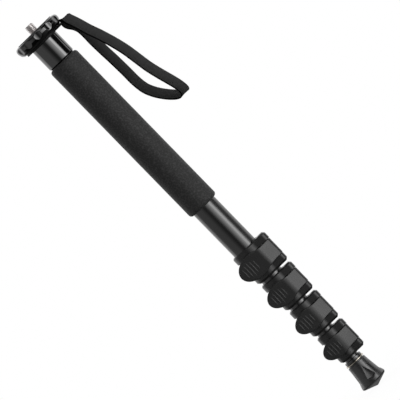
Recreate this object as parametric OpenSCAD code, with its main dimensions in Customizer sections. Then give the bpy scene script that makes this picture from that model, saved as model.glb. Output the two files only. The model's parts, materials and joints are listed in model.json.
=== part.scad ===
// Camera monopod: five nested tubes, four flip locks, foam grip, wrist strap and rubber foot.
// Millimetres. +Z runs up the axis to the camera, and +X is the side of the strap and lever pins.
// The origin is the centre of the platform's top face. The sections are drawn pushed together.

/* [Camera head] */
// Major diameter of the camera stud, 3/8 inch
stud_d = 9.525; // [6.35:0.005:9.6]
// Height of the stud above the platform pad
stud_h = 9; // [6:0.5:12]
// Diameter of the shank that holds the head together
shank_d = 8; // [5:0.5:9]
// Diameter of the flange under the stud
flange_d = 15.6; // [13:0.2:20]
// Thickness of that flange
flange_t = 2; // [1.5:0.1:4]
// Diameter of the camera platform
platform_d = 55.6; // [50:0.2:65]
// Thickness of the platform
platform_h = 10.9; // [10:0.1:15]
// Radius of the platform's rounded rim
rim_r = 4.2; // [3:0.1:4.8]
// Number of finger dimples round the rim
dimple_count = 12; // [6:1:14]
// Turn of the dimples about the axis
dimple_turn = 2; // [-15:1:15]
// Radius of each dimple's hollow
dimple_r = 6; // [5:0.1:8]
// Depth of each dimple
dimple_depth = 2.1; // [1:0.1:2.6]
// Diameter of the rubber pad on the platform
pad_d = 44; // [36:1:46]
// Thickness of that pad
pad_t = 1.1; // [0.6:0.1:2]
// Wall of the neck sleeve under the platform
neck_wall = 1.8; // [1.4:0.1:4]
// Length of the neck sleeve
neck_h = 24.8; // [15:0.2:40]
// Length of the plug inside the neck
plug_h = 30; // [25:1:40]
// Thickness of the plug below the shank
plug_floor = 4; // [3:0.5:8]

/* [Strap eye] */
// Diameter of the plate that carries the strap eye
plate_d = 43.4; // [38:0.2:46]
// Thickness of the plate and diameter of the strap bar
plate_t = 2.4; // [2:0.1:3]
// Distance from the axis to the inner end of the eye
eye_start = 23.9; // [23:0.1:24]
// Length of the eye along the strap's width
eye_l = 12.2; // [12:0.1:14]
// Width of the eye
eye_w = 3.8; // [3.2:0.1:6]
// Thickness of the eye's frame
eye_rim = 1.7; // [1.5:0.1:3]

/* [Wrist strap] */
// Width of the webbing
strap_w = 11; // [8:0.5:11]
// Thickness of the webbing
strap_t = 1.4; // [0.8:0.1:1.5]

/* [Grip] */
// Thickness of the foam grip
grip_wall = 3.65; // [3.2:0.05:7]
// Length of the foam grip
grip_l = 202.6; // [150:1:230]
// Rounding of the grip's ends
grip_round = 3; // [1:0.5:3]
// Gap between the neck sleeve and the grip
grip_gap = 0.9; // [0.3:0.1:3]

/* [Tubes] */
// Outer diameter of the upper tube
tube_d = 28; // [28:0.5:30]
// Step in diameter from one tube to the next
tube_step = 3; // [2.8:0.1:3.2]
// Wall of every tube
tube_wall = 1; // [0.8:0.05:1.1]
// Length of upper tube that shows between the grip and the first lock
upper_show = 59.6; // [20:0.2:80]
// Length of each sliding bush at the top of a tube
bush_l = 22; // [12:1:40]
// Thickness of the cap that closes a bush over its tube's end
bush_cap = 1; // [0.6:0.1:2]
// Length of each guide bush in the lower end of a tube
guide_l = 12; // [8:0.5:20]
// Thickness of a guide bush's flange
guide_flange = 1.5; // [1:0.1:2]
// Free length left above the nested tubes
top_room = 2; // [1:0.5:10]

/* [Flip locks] */
// Height of the first lock
lock_1_h = 36.2; // [34:0.1:40]
// Height of the other locks
lock_h = 34.9; // [34:0.1:40]
// Length of tube that shows between two locks
lock_gap = 3.4; // [1:0.1:8]
// Height of a collar's upper band
upper_band_h = 8.4; // [7:0.1:9]
// Height of a collar's lower band
lower_band_h = 7.6; // [6:0.1:8]
// Depth of a tube's seat in its collar
seat_depth = 12; // [10:0.1:12.5]
// Wall of a collar's upper band
collar_wall = 3.1; // [2.6:0.1:3.6]
// Wall of a collar's lower band
clamp_wall = 3.5; // [3:0.1:4]
// Wall of a collar between its bands
middle_wall = 1.6; // [1.2:0.1:2]
// Chamfer on a band's outer edge
band_chamfer = 1.2; // [0.6:0.1:1.5]
// Reach of a collar's ear beyond its tube
ear_reach = 11.1; // [10.5:0.1:12]
// How much less the lower ear reaches
ear_taper = 0.9; // [0.5:0.1:1.2]
// Radius of the upper ear's corner, about the lever pin
ear_corner_r = 5.4; // [5:0.1:5.8]
// Place of an ear's front face beyond its tube
ear_front = 1.2; // [0.8:0.1:1.6]
// Place of an ear's back face behind the axis
ear_back = 2; // [0:0.2:5]
// Diameter of a lever pin
pin_d = 3; // [2:0.1:4]
// Depth of a lever pin's ends below the collar's faces
pin_recess = 1.2; // [0.4:0.1:2]

/* [Levers] */
// Thickness of a lever
lever_t = 3; // [2.4:0.1:3.2]
// Distance of a lever's front face in front of its collar
lever_front = 3.3; // [3.3:0.1:5]
// Slope of a lever between its hinge and its front face
lever_slope = 25; // [20:1:30]
// Bend radius of a lever
bend_r = 8; // [5:0.5:10]
// Radius of a lever's cam
cam_r = 4.9; // [4.4:0.1:4.9]
// Offset of the cam from the lever pin
cam_offset = 0.45; // [0.2:0.05:0.6]
// Reach of a thumb tab beyond its tube
tab_reach = 9.9; // [8:0.1:12]
// Width of the first lever's thumb tab
tab_w = 26; // [24:0.5:28]
// How much narrower each next thumb tab is
tab_step = 1.5; // [0:0.1:1.6]
// Distance of a thumb tab's widest place from its tip
tab_widest = 18.5; // [16:0.5:20]
// Number of ribs on a thumb tab
rib_count = 5; // [3:1:5]
// Spacing of the ribs
rib_pitch = 3.5; // [2.5:0.1:3.6]
// Distance of the first rib from the thumb tab's tip
rib_start = 6.3; // [5:0.1:7]
// Length of the middle rib
rib_l = 17.4; // [12:0.1:18]
// How much shorter each rib is away from the middle
rib_taper = 3.6; // [1:0.1:4]
// Diameter of a rib
rib_d = 1.8; // [1:0.1:2.4]
// Width of a clamp shoe
shoe_w = 10; // [6:0.5:10]

/* [Foot] */
// Length of the last tube that shows above the ferrule
tail_show = 2.1; // [1:0.1:6]
// Diameter of the ferrule on the last tube
ferrule_d = 20; // [18.5:0.1:22]
// Height of the ferrule
ferrule_h = 3.4; // [3:0.1:8]
// Thickness of the ferrule's floor
ferrule_floor = 1.2; // [1:0.1:1.6]
// Diameter of the foot screw
foot_screw_d = 8; // [5:0.5:9]
// Depth of the foot screw in the tube plug and in the rubber
foot_screw_l = 17; // [10:0.5:18]
// Thickness of the tube plug above the foot screw
foot_plug_cap = 2; // [1:0.5:5]
// Diameter of the washer
washer_d = 22; // [18:0.2:26]
// Thickness of the washer
washer_t = 1.6; // [1:0.1:2.5]
// Diameter of the groove between the washer and the foot
groove_d = 19; // [14:0.2:20]
// Height of that groove
groove_h = 1.1; // [0.6:0.1:2]
// Diameter of the rubber foot at its top
foot_top_d = 21.6; // [21:0.2:24]
// Largest diameter of the rubber foot
foot_d = 29.8; // [28:0.2:34]
// Height of the flared side of the foot
flare_h = 24.5; // [24:0.5:30]
// Radius of the hollow flare
flare_r = 100; // [80:5:200]
// Rounding of the foot's rim
foot_rim_r = 1.6; // [1:0.1:2]
// Height of the cone below the rim
cone_h = 5.4; // [4:0.1:8]
// Radius of the foot's rounded point
point_r = 3; // [1.5:0.1:4]
// Number of hollows round the foot
hollow_count = 4; // [3:1:5]
// Turn of the hollows about the axis
hollow_turn = -84; // [-180:1:180]
// Distance of a hollow's point from the foot's top
hollow_start = 7; // [4:0.5:9]
// Length of a hollow
hollow_l = 15; // [12:0.5:15.5]
// Width of a hollow
hollow_w = 10.4; // [8:0.2:12]
// Distance from the axis to a hollow's floor
hollow_floor = 11.1; // [10.8:0.1:12]
// Rounding of a hollow's corners
hollow_round = 1.5; // [0.8:0.1:2]

/* [Fits] */
// Radial clearance of a sliding fit
slide_fit = 0.08; // [0.05:0.01:0.1]
// Radial clearance of a lever on its pin
pin_fit = 0.05; // [0.03:0.01:0.1]
// Glue line between fixed pieces
glue = 0.03; // [0.02:0.01:0.05]
// Clearance of a tube through a collar's lower bore
bore_fit = 0.3; // [0.2:0.05:0.5]
// Gap between a lever and what it passes
lever_gap = 0.35; // [0.3:0.05:0.6]
// Gap between a cam and its clamp shoe
cam_gap = 0.15; // [0.1:0.05:0.3]

/* [Hidden] */
$fn = 96;
hull_fn = 32;     // sides of the round posts that an ear is blended from
past = 1;         // how far a cutting tool runs past the face it cuts
tab_steps = 24;   // points along each curve of a thumb tab's outline
flare_steps = 10; // steps along the foot's hollow flare
bend_steps = 10;  // steps round a lever's bend

anodised = "#2b2c2e";
moulding = "#232425";
foam = "#1f2021";
steel = "#cfc6bf";
rubber = "#2e2f30";

// Levels down the axis
platform_top = -pad_t;
platform_bottom = platform_top - platform_h;
plate_bottom = platform_bottom - plate_t;
neck_bottom = plate_bottom - neck_h;
grip_top = neck_bottom - grip_gap;
grip_bottom = grip_top - grip_l;
first_lock_top = grip_bottom - upper_show;
plug_bottom = plate_bottom - plug_h;
nest_top = plug_bottom - top_room;

// Stud, flange and shank of the camera screw
stud_chamfer = 0.8;
flange_top = -0.2;
flange_bottom = flange_top - flange_t;
shank_bottom = plug_bottom + plug_floor;
seat_play = 0.2; // clearance of a piece that a screw goes through

// Tubes and locks by number: tube 1 is the upper tube, and lock i joins tube i to tube i + 1
lock_count = 4;
function tube_r(i) = tube_d / 2 - (i - 1) * tube_step / 2;
function tube_bore_r(i) = tube_r(i) - tube_wall;
function lock_height(i) = i == 1 ? lock_1_h : lock_h;
function lock_top(i) = i == 1 ? first_lock_top : lock_bottom(i - 1) - lock_gap;
function lock_bottom(i) = lock_top(i) - lock_height(i);
function zone_top(i) = lock_top(i) - upper_band_h;
function zone_bottom(i) = lock_bottom(i) + lower_band_h;
function zone_middle(i) = (zone_top(i) + zone_bottom(i)) / 2;
function tube_top(i) = i == 1 ? plate_bottom : nest_top - bush_cap;
function tube_bottom(i) = i <= lock_count ? lock_top(i) - seat_depth : ferrule_bottom + ferrule_floor;

// Plan of a lock: the pin's place, the cam's middle and the way from the pin to the axis
function pin_at(i) = [tube_r(i) + ear_reach - ear_corner_r, ear_corner_r - tube_r(i) - ear_front];
function pin_reach(i) = norm(pin_at(i));
function inward(i) = -pin_at(i) / pin_reach(i);
function shoe_out(i) = pin_reach(i) - cam_r - cam_offset - cam_gap;
function front_y(i) = -(tube_r(i) + collar_wall + lever_front);
function tab_tip(i) = -(tube_r(i) + tab_reach);
function tab_half(i) = (tab_w - tab_step * (i - 1)) / 2;
function hinge_half(i) = (zone_top(i) - zone_bottom(i)) / 2 - lever_gap;

// Levels of the foot
ferrule_top = lock_bottom(lock_count) - tail_show;
ferrule_bottom = ferrule_top - ferrule_h;
washer_bottom = ferrule_bottom - washer_t;
foot_top = washer_bottom - groove_h;
foot_tube = lock_count + 1;
foot_screw_top = ferrule_bottom + ferrule_floor + foot_screw_l;
foot_plug_top = foot_screw_top + foot_plug_cap;
foot_screw_bottom = washer_bottom - foot_screw_l;

// Eye of the strap plate: a round bar in front, which the webbing goes round
bar_r = plate_t / 2;
bar_z = platform_bottom - bar_r;
bar_y = -3.2;     // place of the bar, in front of the axis
eye_front = bar_y - bar_r;
eye_back = bar_y + bar_r + eye_w;
eye_end = eye_start + eye_l;
eye_middle = eye_start + eye_l / 2;

// Route of the webbing from the middle of the bar: over it, out along the near leg and back along
// the far leg
strap_route = [
    [2.4, 0, 2.2], [2.6, -1.6, 1.5], [2.9, -2.2, 0], [3.5, -2.6, -2.4],
    [5, -3.2, -6.3], [7.4, -4.4, -13.3], [10.4, -6.2, -23.3], [14.8, -8.4, -35.3],
    [19.2, -10, -49.3], [22.7, -10.8, -63.3], [25, -11, -77.3], [27.2, -10.8, -90.8],
    [30.3, -10.2, -103.3], [33.7, -9, -115.3], [36, -7, -124.3], [36.9, -3.8, -130.8],
    [36.3, 0.2, -134.3], [34.3, 4.4, -135.2], [31, 8.2, -133.6], [27, 11.2, -130.2],
    [22.2, 13.4, -125.2], [16.9, 14.8, -118.3], [12.8, 15.4, -111.3], [9.9, 15.6, -103.8],
    [8.4, 15.4, -92.8], [8.2, 14.8, -78.8], [7.7, 13.8, -63.3], [6.9, 12.2, -48.3],
    [6.4, 10, -34.8], [6.5, 7.8, -23.8], [5.7, 6, -15.8], [3.6, 4.4, -9.8],
    [1.2, 3.2, -5.4], [0.1, 2.5, -2.4], [0.3, 2.2, 0], [1.4, 1.6, 1.5]];
strap_substeps = 2;
strap_edge = 0.35; // rounding of the webbing's edges, as a share of its thickness

// A point on the smooth closed curve through the route, t steps past point k
function route_point(k) = strap_route[(k + len(strap_route)) % len(strap_route)];
function curve_point(k, t) =
    let (a = route_point(k - 1), b = route_point(k), c = route_point(k + 1), d = route_point(k + 2))
    0.5 * (2 * b + (c - a) * t + (2 * a - 5 * b + 4 * c - d) * t * t
           + (3 * b - a - 3 * c + d) * t * t * t);
function unit(v) = v / norm(v);

// A straight ring of a turned profile
module turned(profile) { rotate_extrude() polygon(profile); }

// A tube between two levels
module pipe(r_out, r_in, z_low, z_high) {
    difference() {
        translate([0, 0, z_low]) cylinder(r = r_out, h = z_high - z_low);
        translate([0, 0, z_low - past]) cylinder(r = r_in, h = z_high - z_low + 2 * past);
    }
}

// A hole down the axis between two levels
module drill(r, z_low, z_high) { translate([0, 0, z_low]) cylinder(r = r, h = z_high - z_low); }

// A turned disc or bar whose ends have rounded rims
module rounded_bar(r, rim, z_low, z_high) {
    rotate_extrude() union() {
        translate([0, z_low]) square([r - rim, z_high - z_low]);
        translate([0, z_low + rim]) square([r, z_high - z_low - 2 * rim]);
        for (z = [z_low + rim, z_high - rim]) translate([r - rim, z]) circle(r = rim);
    }
}

module camera_screw() {
    r = stud_d / 2;
    color(steel) union() {
        turned([[0, flange_bottom], [flange_d / 2, flange_bottom], [flange_d / 2, flange_top],
                [r, flange_top], [r, stud_h - stud_chamfer], [r - stud_chamfer, stud_h], [0, stud_h]]);
        drill(shank_d / 2, shank_bottom, flange_bottom);
    }
}

module platform_pad() {
    color(rubber) pipe(pad_d / 2, flange_d / 2 + seat_play, platform_top, 0);
}

module platform() {
    outer = platform_d / 2;
    dimple_at = outer - dimple_depth + dimple_r;
    middle = (platform_top + platform_bottom) / 2;
    color(moulding) difference() {
        rounded_bar(outer, rim_r, platform_bottom, platform_top);
        for (k = [0:dimple_count - 1])
            rotate([0, 0, dimple_turn + k * 360 / dimple_count - 90])
                translate([dimple_at, 0, middle]) sphere(r = dimple_r);
        drill(flange_d / 2 + seat_play, flange_bottom, past);
        drill(shank_d / 2 + seat_play, platform_bottom - past, past);
    }
}

module strap_plate() {
    color(moulding) difference() {
        union() {
            drill(plate_d / 2, plate_bottom, platform_bottom);
            difference() {
                translate([0, eye_front, plate_bottom])
                    cube([eye_end + eye_rim, eye_back + eye_rim - eye_front, plate_t]);
                translate([eye_start, eye_front - past, plate_bottom - past])
                    cube([eye_l, eye_back - eye_front + past, plate_t + 2 * past]);
            }
            translate([0, bar_y, bar_z]) rotate([0, 90, 0]) cylinder(r = bar_r, h = eye_end + eye_rim);
        }
        drill(shank_d / 2 + seat_play, plate_bottom - past, past);
    }
}

// Flat webbing swept along its route, its width held square to the route and nearest to X
module wrist_strap() {
    half_w = strap_w / 2;
    half_t = strap_t / 2;
    bevel = strap_edge * strap_t;
    section = [[half_w, half_t - bevel], [half_w - bevel, half_t],
               [bevel - half_w, half_t], [-half_w, half_t - bevel],
               [-half_w, bevel - half_t], [bevel - half_w, -half_t],
               [half_w - bevel, -half_t], [half_w, bevel - half_t]];
    sides = len(section);
    centres = [for (k = [0:len(strap_route) - 1], s = [0:strap_substeps - 1])
        curve_point(k, s / strap_substeps)];
    rings = len(centres);
    points = [for (k = [0:rings - 1])
        let (along = unit(centres[(k + 1) % rings] - centres[(k + rings - 1) % rings]),
             across = unit([1, 0, 0] - along.x * along),
             out = cross(along, across))
        for (p = section) centres[k] + p.x * across + p.y * out];
    function corner(ring, side) = (ring % rings) * sides + side % sides;
    faces = [for (k = [0:rings - 1], s = [0:sides - 1], half = [0, 1])
        half == 0 ? [corner(k, s), corner(k + 1, s), corner(k + 1, s + 1)]
                  : [corner(k, s), corner(k + 1, s + 1), corner(k, s + 1)]];
    color(foam) translate([eye_middle, bar_y, bar_z]) polyhedron(points, faces);
}

module neck_sleeve() {
    color(anodised) pipe(tube_r(1) + neck_wall, tube_r(1) + glue, neck_bottom, plate_bottom);
}

module head_plug() {
    color(moulding) difference() {
        drill(tube_bore_r(1) - glue, plug_bottom, plate_bottom);
        drill(shank_d / 2 + glue, shank_bottom - glue, plate_bottom + past);
    }
}

module foam_grip() {
    color(foam) difference() {
        rounded_bar(tube_r(1) + grip_wall, grip_round, grip_bottom, grip_top);
        drill(tube_r(1) + glue, grip_bottom - past, grip_top + past);
    }
}

module section_tube(i) { color(anodised) pipe(tube_r(i), tube_bore_r(i), tube_bottom(i), tube_top(i)); }

// Capped sleeve on the top of tube i, which slides in the tube above it
module tube_bush(i) {
    outer = tube_bore_r(i - 1) - slide_fit;
    inner = tube_r(i) + glue;
    top = tube_top(i) + bush_cap;
    bottom = tube_top(i) - bush_l;
    color(moulding) turned([[inner, bottom], [outer, bottom], [outer, top], [tube_bore_r(i), top],
                            [tube_bore_r(i), tube_top(i)], [inner, tube_top(i)]]);
}

// Flanged sleeve in the lower end of tube i, which guides the next tube and stops its bush
module lock_guide(i) {
    inner = tube_r(i + 1) + slide_fit;
    end = tube_bottom(i);
    sleeve = tube_bore_r(i) - glue;
    color(moulding) turned([[inner, end - guide_flange], [tube_r(i), end - guide_flange], [tube_r(i), end],
                            [sleeve, end], [sleeve, end + guide_l], [inner, end + guide_l]]);
}

// One post of an ear, chamfered at its upper or lower end
module ear_post(at, r, z_low, z_high, chamfer_up) {
    c = band_chamfer;
    translate([at.x, at.y, z_low + (chamfer_up ? 0 : c)])
        cylinder(r = r, h = z_high - z_low - c, $fn = hull_fn);
    translate([at.x, at.y, chamfer_up ? z_high - c : z_low])
        cylinder(r1 = chamfer_up ? r : r - c, r2 = chamfer_up ? r - c : r, h = c, $fn = hull_fn);
}

// The ear of one band, blended from its corner at the pin to the round band
module ear(i, corner_r, z_low, z_high, chamfer_up) {
    pin = pin_at(i);
    post_r = 2;
    root_x = tube_r(i) / 4;
    hull() {
        ear_post(pin, corner_r, z_low, z_high, chamfer_up);
        ear_post([pin.x + corner_r - post_r, ear_back - post_r], post_r, z_low, z_high, chamfer_up);
        ear_post([root_x, pin.y - corner_r + post_r], post_r, z_low, z_high, chamfer_up);
        ear_post([root_x, ear_back - post_r], post_r, z_low, z_high, chamfer_up);
    }
}

// The window of a clamp shoe, or the shoe's own block, along the way from the pin to the axis
module shoe_block(i, r_low, r_high, play) {
    low = zone_bottom(i);
    high = tube_bottom(i) - guide_flange;
    shoe_play = 0.2;
    turn = atan2(pin_at(i).y, pin_at(i).x);
    rotate([0, 0, turn]) translate([r_low, -shoe_w / 2 - play, low + shoe_play - play])
        cube([r_high - r_low, shoe_w + 2 * play, high - low - 2 * shoe_play + 2 * play]);
}

module lock_collar(i) {
    top = lock_top(i);
    bottom = lock_bottom(i);
    pin = pin_at(i);
    c = band_chamfer;
    upper_r = tube_r(i) + collar_wall;
    lower_r = tube_r(i + 1) + clamp_wall;
    window_play = 0.1;
    color(moulding) difference() {
        union() {
            turned([[0, bottom], [lower_r - c, bottom], [lower_r, bottom + c], [lower_r, zone_bottom(i)],
                    [tube_r(i) + middle_wall, zone_bottom(i)], [tube_r(i) + middle_wall, zone_top(i)],
                    [upper_r, zone_top(i)], [upper_r, top - c], [upper_r - c, top], [0, top]]);
            ear(i, ear_corner_r, zone_top(i), top, true);
            ear(i, ear_corner_r - ear_taper, bottom, zone_bottom(i), false);
        }
        drill(tube_r(i) + glue, tube_bottom(i) - guide_flange, top + past);
        drill(tube_r(i + 1) + bore_fit, bottom - past, top);
        shoe_block(i, tube_r(i + 1) / 2, pin_reach(i), window_play);
        translate([pin.x, pin.y, 0]) drill(pin_d / 2 + glue, bottom - past, top + past);
        translate([pin.x, pin.y, 0])
            drill(cam_r + cam_offset + lever_gap, zone_bottom(i), zone_top(i));
    }
}

module lock_pin(i) {
    pin = pin_at(i);
    color(steel) translate([pin.x, pin.y, 0])
        drill(pin_d / 2, lock_bottom(i) + pin_recess, lock_top(i) - pin_recess);
}

// Brake shoe: hollow against the inner tube, flat against the cam
module lock_shoe(i) {
    color(rubber) difference() {
        shoe_block(i, tube_r(i + 1) / 2, shoe_out(i), 0);
        drill(tube_r(i + 1) + slide_fit, lock_bottom(i), lock_top(i));
    }
}

// Plan of a lever: eccentric cam, sloping arm, bend and flat front
module lever_plan(i) {
    pin = pin_at(i);
    front = front_y(i);
    arm_out = [sin(lever_slope), -cos(lever_slope)];
    arm_along = [-cos(lever_slope), -sin(lever_slope)];
    start = pin + cam_r * arm_out;
    corner = start + (start.y - front) / sin(lever_slope) * arm_along;
    bend_at = corner + [-bend_r * tan(lever_slope / 2), bend_r];
    bend = [for (k = [0:bend_steps])
        let (turn = lever_slope * (1 - k / bend_steps)) [sin(turn), -cos(turn)]];
    outer = [for (way = bend) bend_at + bend_r * way];
    inner = [for (k = [bend_steps:-1:0]) bend_at + (bend_r - lever_t) * bend[k]];
    translate(pin + cam_offset * inward(i)) circle(r = cam_r);
    translate(pin) circle(r = cam_r);
    polygon(concat([pin, start], outer, [[tab_tip(i), front], [tab_tip(i), front + lever_t]], inner));
}

// Half width of a lever, seen from the front, at a distance x along it
function lever_half(i, x) =
    let (widest = tab_tip(i) + tab_widest, narrow = pin_at(i).x - cam_r - cam_offset)
    x <= widest ? tab_half(i) * sqrt(max(0, 1 - pow((widest - x) / tab_widest, 2)))
    : x >= narrow ? hinge_half(i)
    : tab_half(i) + (hinge_half(i) - tab_half(i)) * (1 - cos(180 * (x - widest) / (narrow - widest))) / 2;

// Front outline of a lever: straight hinge, flared thumb tab and rounded tip
module lever_outline(i) {
    tip = tab_tip(i);
    widest = tip + tab_widest;
    narrow = pin_at(i).x - cam_r - cam_offset;
    end = pin_at(i).x + cam_r + past;
    tip_curve = [for (k = [0:tab_steps]) widest - tab_widest * cos(90 * k / tab_steps)];
    neck_curve = [for (k = [1:tab_steps]) widest + (narrow - widest) * k / tab_steps];
    xs = concat(tip_curve, neck_curve, [end]);
    upper = [for (x = xs) [x, lever_half(i, x)]];
    lower = [for (k = [len(xs) - 1:-1:1]) [xs[k], -lever_half(i, xs[k])]];
    polygon(concat(upper, lower));
}

module lock_lever(i) {
    pin = pin_at(i);
    depth = -front_y(i) + 2 * cam_r;
    rib_rise = rib_d / 4;
    color(moulding) difference() {
        union() {
            intersection() {
                translate([0, 0, zone_middle(i) - tab_w]) linear_extrude(2 * tab_w) lever_plan(i);
                translate([0, 2 * cam_r, zone_middle(i)]) rotate([90, 0, 0])
                    linear_extrude(depth + past) lever_outline(i);
            }
            for (k = [0:rib_count - 1]) {
                length = (rib_l - rib_taper * abs(k - (rib_count - 1) / 2)) * tab_half(i) / tab_half(1);
                translate([tab_tip(i) + rib_start + k * rib_pitch, front_y(i) + rib_d / 2 - rib_rise,
                           zone_middle(i) - length / 2]) cylinder(d = rib_d, h = length);
            }
        }
        translate([pin.x, pin.y, 0]) drill(pin_d / 2 + pin_fit, lock_bottom(i), lock_top(i));
    }
}

module foot_plug() {
    color(moulding) difference() {
        drill(tube_bore_r(foot_tube) - glue, ferrule_bottom + ferrule_floor, foot_plug_top);
        drill(foot_screw_d / 2 + glue, ferrule_bottom, foot_screw_top);
    }
}

module foot_screw() { color(steel) drill(foot_screw_d / 2, foot_screw_bottom, foot_screw_top); }

module foot_ferrule() {
    color(anodised) difference() {
        drill(ferrule_d / 2, ferrule_bottom, ferrule_top);
        drill(tube_r(foot_tube) + glue, ferrule_bottom + ferrule_floor, ferrule_top + past);
        drill(foot_screw_d / 2 + seat_play, ferrule_bottom - past, ferrule_top);
    }
}

module foot_washer() {
    color(steel) pipe(washer_d / 2, foot_screw_d / 2 + seat_play, washer_bottom, ferrule_bottom);
}

// Turned form of the rubber foot: hollow flare, rounded rim, blunt cone and groove
module foot_form() {
    top = [foot_top_d / 2, foot_top];
    rim = [foot_d / 2, foot_top - flare_h];
    rim_at = rim - [foot_rim_r, 0];
    chord = rim - top;
    half_turn = asin(norm(chord) / 2 / flare_r);
    outward = unit([-chord.y, chord.x]);
    flare_at = (top + rim) / 2 + flare_r * cos(half_turn) * outward;
    flare = [for (k = [0:flare_steps])
        let (turn = half_turn * (2 * k / flare_steps - 1))
        flare_at + flare_r * (sin(turn) * unit(chord) - cos(turn) * outward)];
    point_z = rim_at.y - foot_rim_r - cone_h + point_r;
    cone_lean = atan2(cone_h, rim_at.x);
    cone_out = [sin(cone_lean), -cos(cone_lean)];
    turned(concat([[0, top.y]], flare, [rim_at + foot_rim_r * cone_out, [0, point_z] + point_r * cone_out,
                                        [0, point_z]]));
    rotate_extrude() translate(rim_at) circle(r = foot_rim_r);
    translate([0, 0, point_z]) sphere(r = point_r);
    drill(groove_d / 2, foot_top - groove_h, washer_bottom);
}

// Rounded triangle of a hollow, point upwards, from its own point
module hollow_outline() {
    half = hollow_w / 2;
    q = hollow_round;
    polygon([[0, 0], [half, q - hollow_l], [half - q, -hollow_l], [q - half, -hollow_l],
             [-half, q - hollow_l]]);
    for (side = [-1, 1]) translate([side * (half - q), q - hollow_l]) circle(r = q);
}

module rubber_foot() {
    color(rubber) difference() {
        foot_form();
        for (k = [0:hollow_count - 1])
            rotate([0, 0, hollow_turn + k * 360 / hollow_count])
                translate([hollow_floor, 0, foot_top - hollow_start]) rotate([90, 0, 90])
                    linear_extrude(foot_d / 2) hollow_outline();
        drill(foot_screw_d / 2 + glue, foot_screw_bottom - glue, washer_bottom + past);
    }
}

camera_screw();
platform_pad();
platform();
strap_plate();
wrist_strap();
neck_sleeve();
head_plug();
foam_grip();
section_tube(1);  // upper_tube
section_tube(2);  // tube_2
section_tube(3);  // tube_3
section_tube(4);  // tube_4
section_tube(5);  // tube_5
tube_bush(2);  // tube_2_bush
tube_bush(3);  // tube_3_bush
tube_bush(4);  // tube_4_bush
tube_bush(5);  // tube_5_bush
lock_collar(1);  // lock_1_collar
lock_lever(1);  // lock_1_lever
lock_pin(1);  // lock_1_pin
lock_shoe(1);  // lock_1_shoe
lock_guide(1);  // lock_1_guide
lock_collar(2);  // lock_2_collar
lock_lever(2);  // lock_2_lever
lock_pin(2);  // lock_2_pin
lock_shoe(2);  // lock_2_shoe
lock_guide(2);  // lock_2_guide
lock_collar(3);  // lock_3_collar
lock_lever(3);  // lock_3_lever
lock_pin(3);  // lock_3_pin
lock_shoe(3);  // lock_3_shoe
lock_guide(3);  // lock_3_guide
lock_collar(4);  // lock_4_collar
lock_lever(4);  // lock_4_lever
lock_pin(4);  // lock_4_pin
lock_shoe(4);  // lock_4_shoe
lock_guide(4);  // lock_4_guide
foot_plug();
foot_screw();
foot_ferrule();
foot_washer();
rubber_foot();
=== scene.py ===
"""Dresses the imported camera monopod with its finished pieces, and sets up the studio round it."""

import json
import logging
import math
from dataclasses import dataclass
from enum import Enum
from typing import Callable, Optional, Sequence, Union

import bmesh
import bpy
import numpy as np
from mathutils import Matrix, Vector, noise

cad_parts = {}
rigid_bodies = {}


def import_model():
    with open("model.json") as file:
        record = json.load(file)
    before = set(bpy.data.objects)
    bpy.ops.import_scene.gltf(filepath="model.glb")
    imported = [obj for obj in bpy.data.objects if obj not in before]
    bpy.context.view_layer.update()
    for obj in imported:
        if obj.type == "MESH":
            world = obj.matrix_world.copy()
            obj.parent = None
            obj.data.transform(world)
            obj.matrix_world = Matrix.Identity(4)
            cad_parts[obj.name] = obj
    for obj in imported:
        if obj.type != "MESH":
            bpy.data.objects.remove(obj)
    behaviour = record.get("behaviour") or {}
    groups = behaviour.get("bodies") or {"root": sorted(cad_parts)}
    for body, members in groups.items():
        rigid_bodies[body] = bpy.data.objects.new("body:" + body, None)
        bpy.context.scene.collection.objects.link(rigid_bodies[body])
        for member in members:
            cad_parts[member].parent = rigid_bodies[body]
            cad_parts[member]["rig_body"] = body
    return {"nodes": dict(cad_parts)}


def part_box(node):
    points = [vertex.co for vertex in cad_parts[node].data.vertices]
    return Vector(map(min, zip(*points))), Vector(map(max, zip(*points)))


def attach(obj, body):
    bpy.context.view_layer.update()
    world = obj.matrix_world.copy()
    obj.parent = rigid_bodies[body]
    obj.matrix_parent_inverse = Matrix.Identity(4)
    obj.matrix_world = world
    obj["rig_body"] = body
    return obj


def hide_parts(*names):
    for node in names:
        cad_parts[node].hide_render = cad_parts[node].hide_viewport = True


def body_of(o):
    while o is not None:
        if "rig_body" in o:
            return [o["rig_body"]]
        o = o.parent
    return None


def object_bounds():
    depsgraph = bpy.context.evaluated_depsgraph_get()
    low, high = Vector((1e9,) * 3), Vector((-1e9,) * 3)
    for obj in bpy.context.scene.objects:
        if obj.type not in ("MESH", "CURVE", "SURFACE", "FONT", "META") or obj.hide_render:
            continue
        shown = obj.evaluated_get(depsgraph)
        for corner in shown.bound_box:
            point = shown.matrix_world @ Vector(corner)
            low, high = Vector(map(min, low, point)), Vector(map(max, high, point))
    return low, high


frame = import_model()
CAD_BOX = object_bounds()

LOG = logging.getLogger("monopod")
EDGE = "edge"
MM = 0.001
FULL_TURN = 2 * math.pi
JOIN_WITHIN = 1e-7
NO_LENGTH = 1e-8
CAD_JOIN_WITHIN = 1e-6
SHARP_FROM = math.radians(40.0)
BEVEL_FROM = math.radians(35.0)
FLAT_WITHIN = math.radians(1.0)
HULL_WAYS = 720
FAR = 1e6
TINY = 1e-9
BEVEL_SEGMENTS = 2
STRAP_WIDTH = 11.0
WEFT_PITCH = 1.3
GLUED_BORE = 14.03

Array = np.ndarray
Mesh = bpy.types.Mesh
Material = bpy.types.Material
NodeSocket = bpy.types.NodeSocket
Pair = tuple[float, float]
Triple = tuple[float, float, float]
Stops = Sequence[Pair]
Station = tuple[Array, Array, float, float, float]


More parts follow.
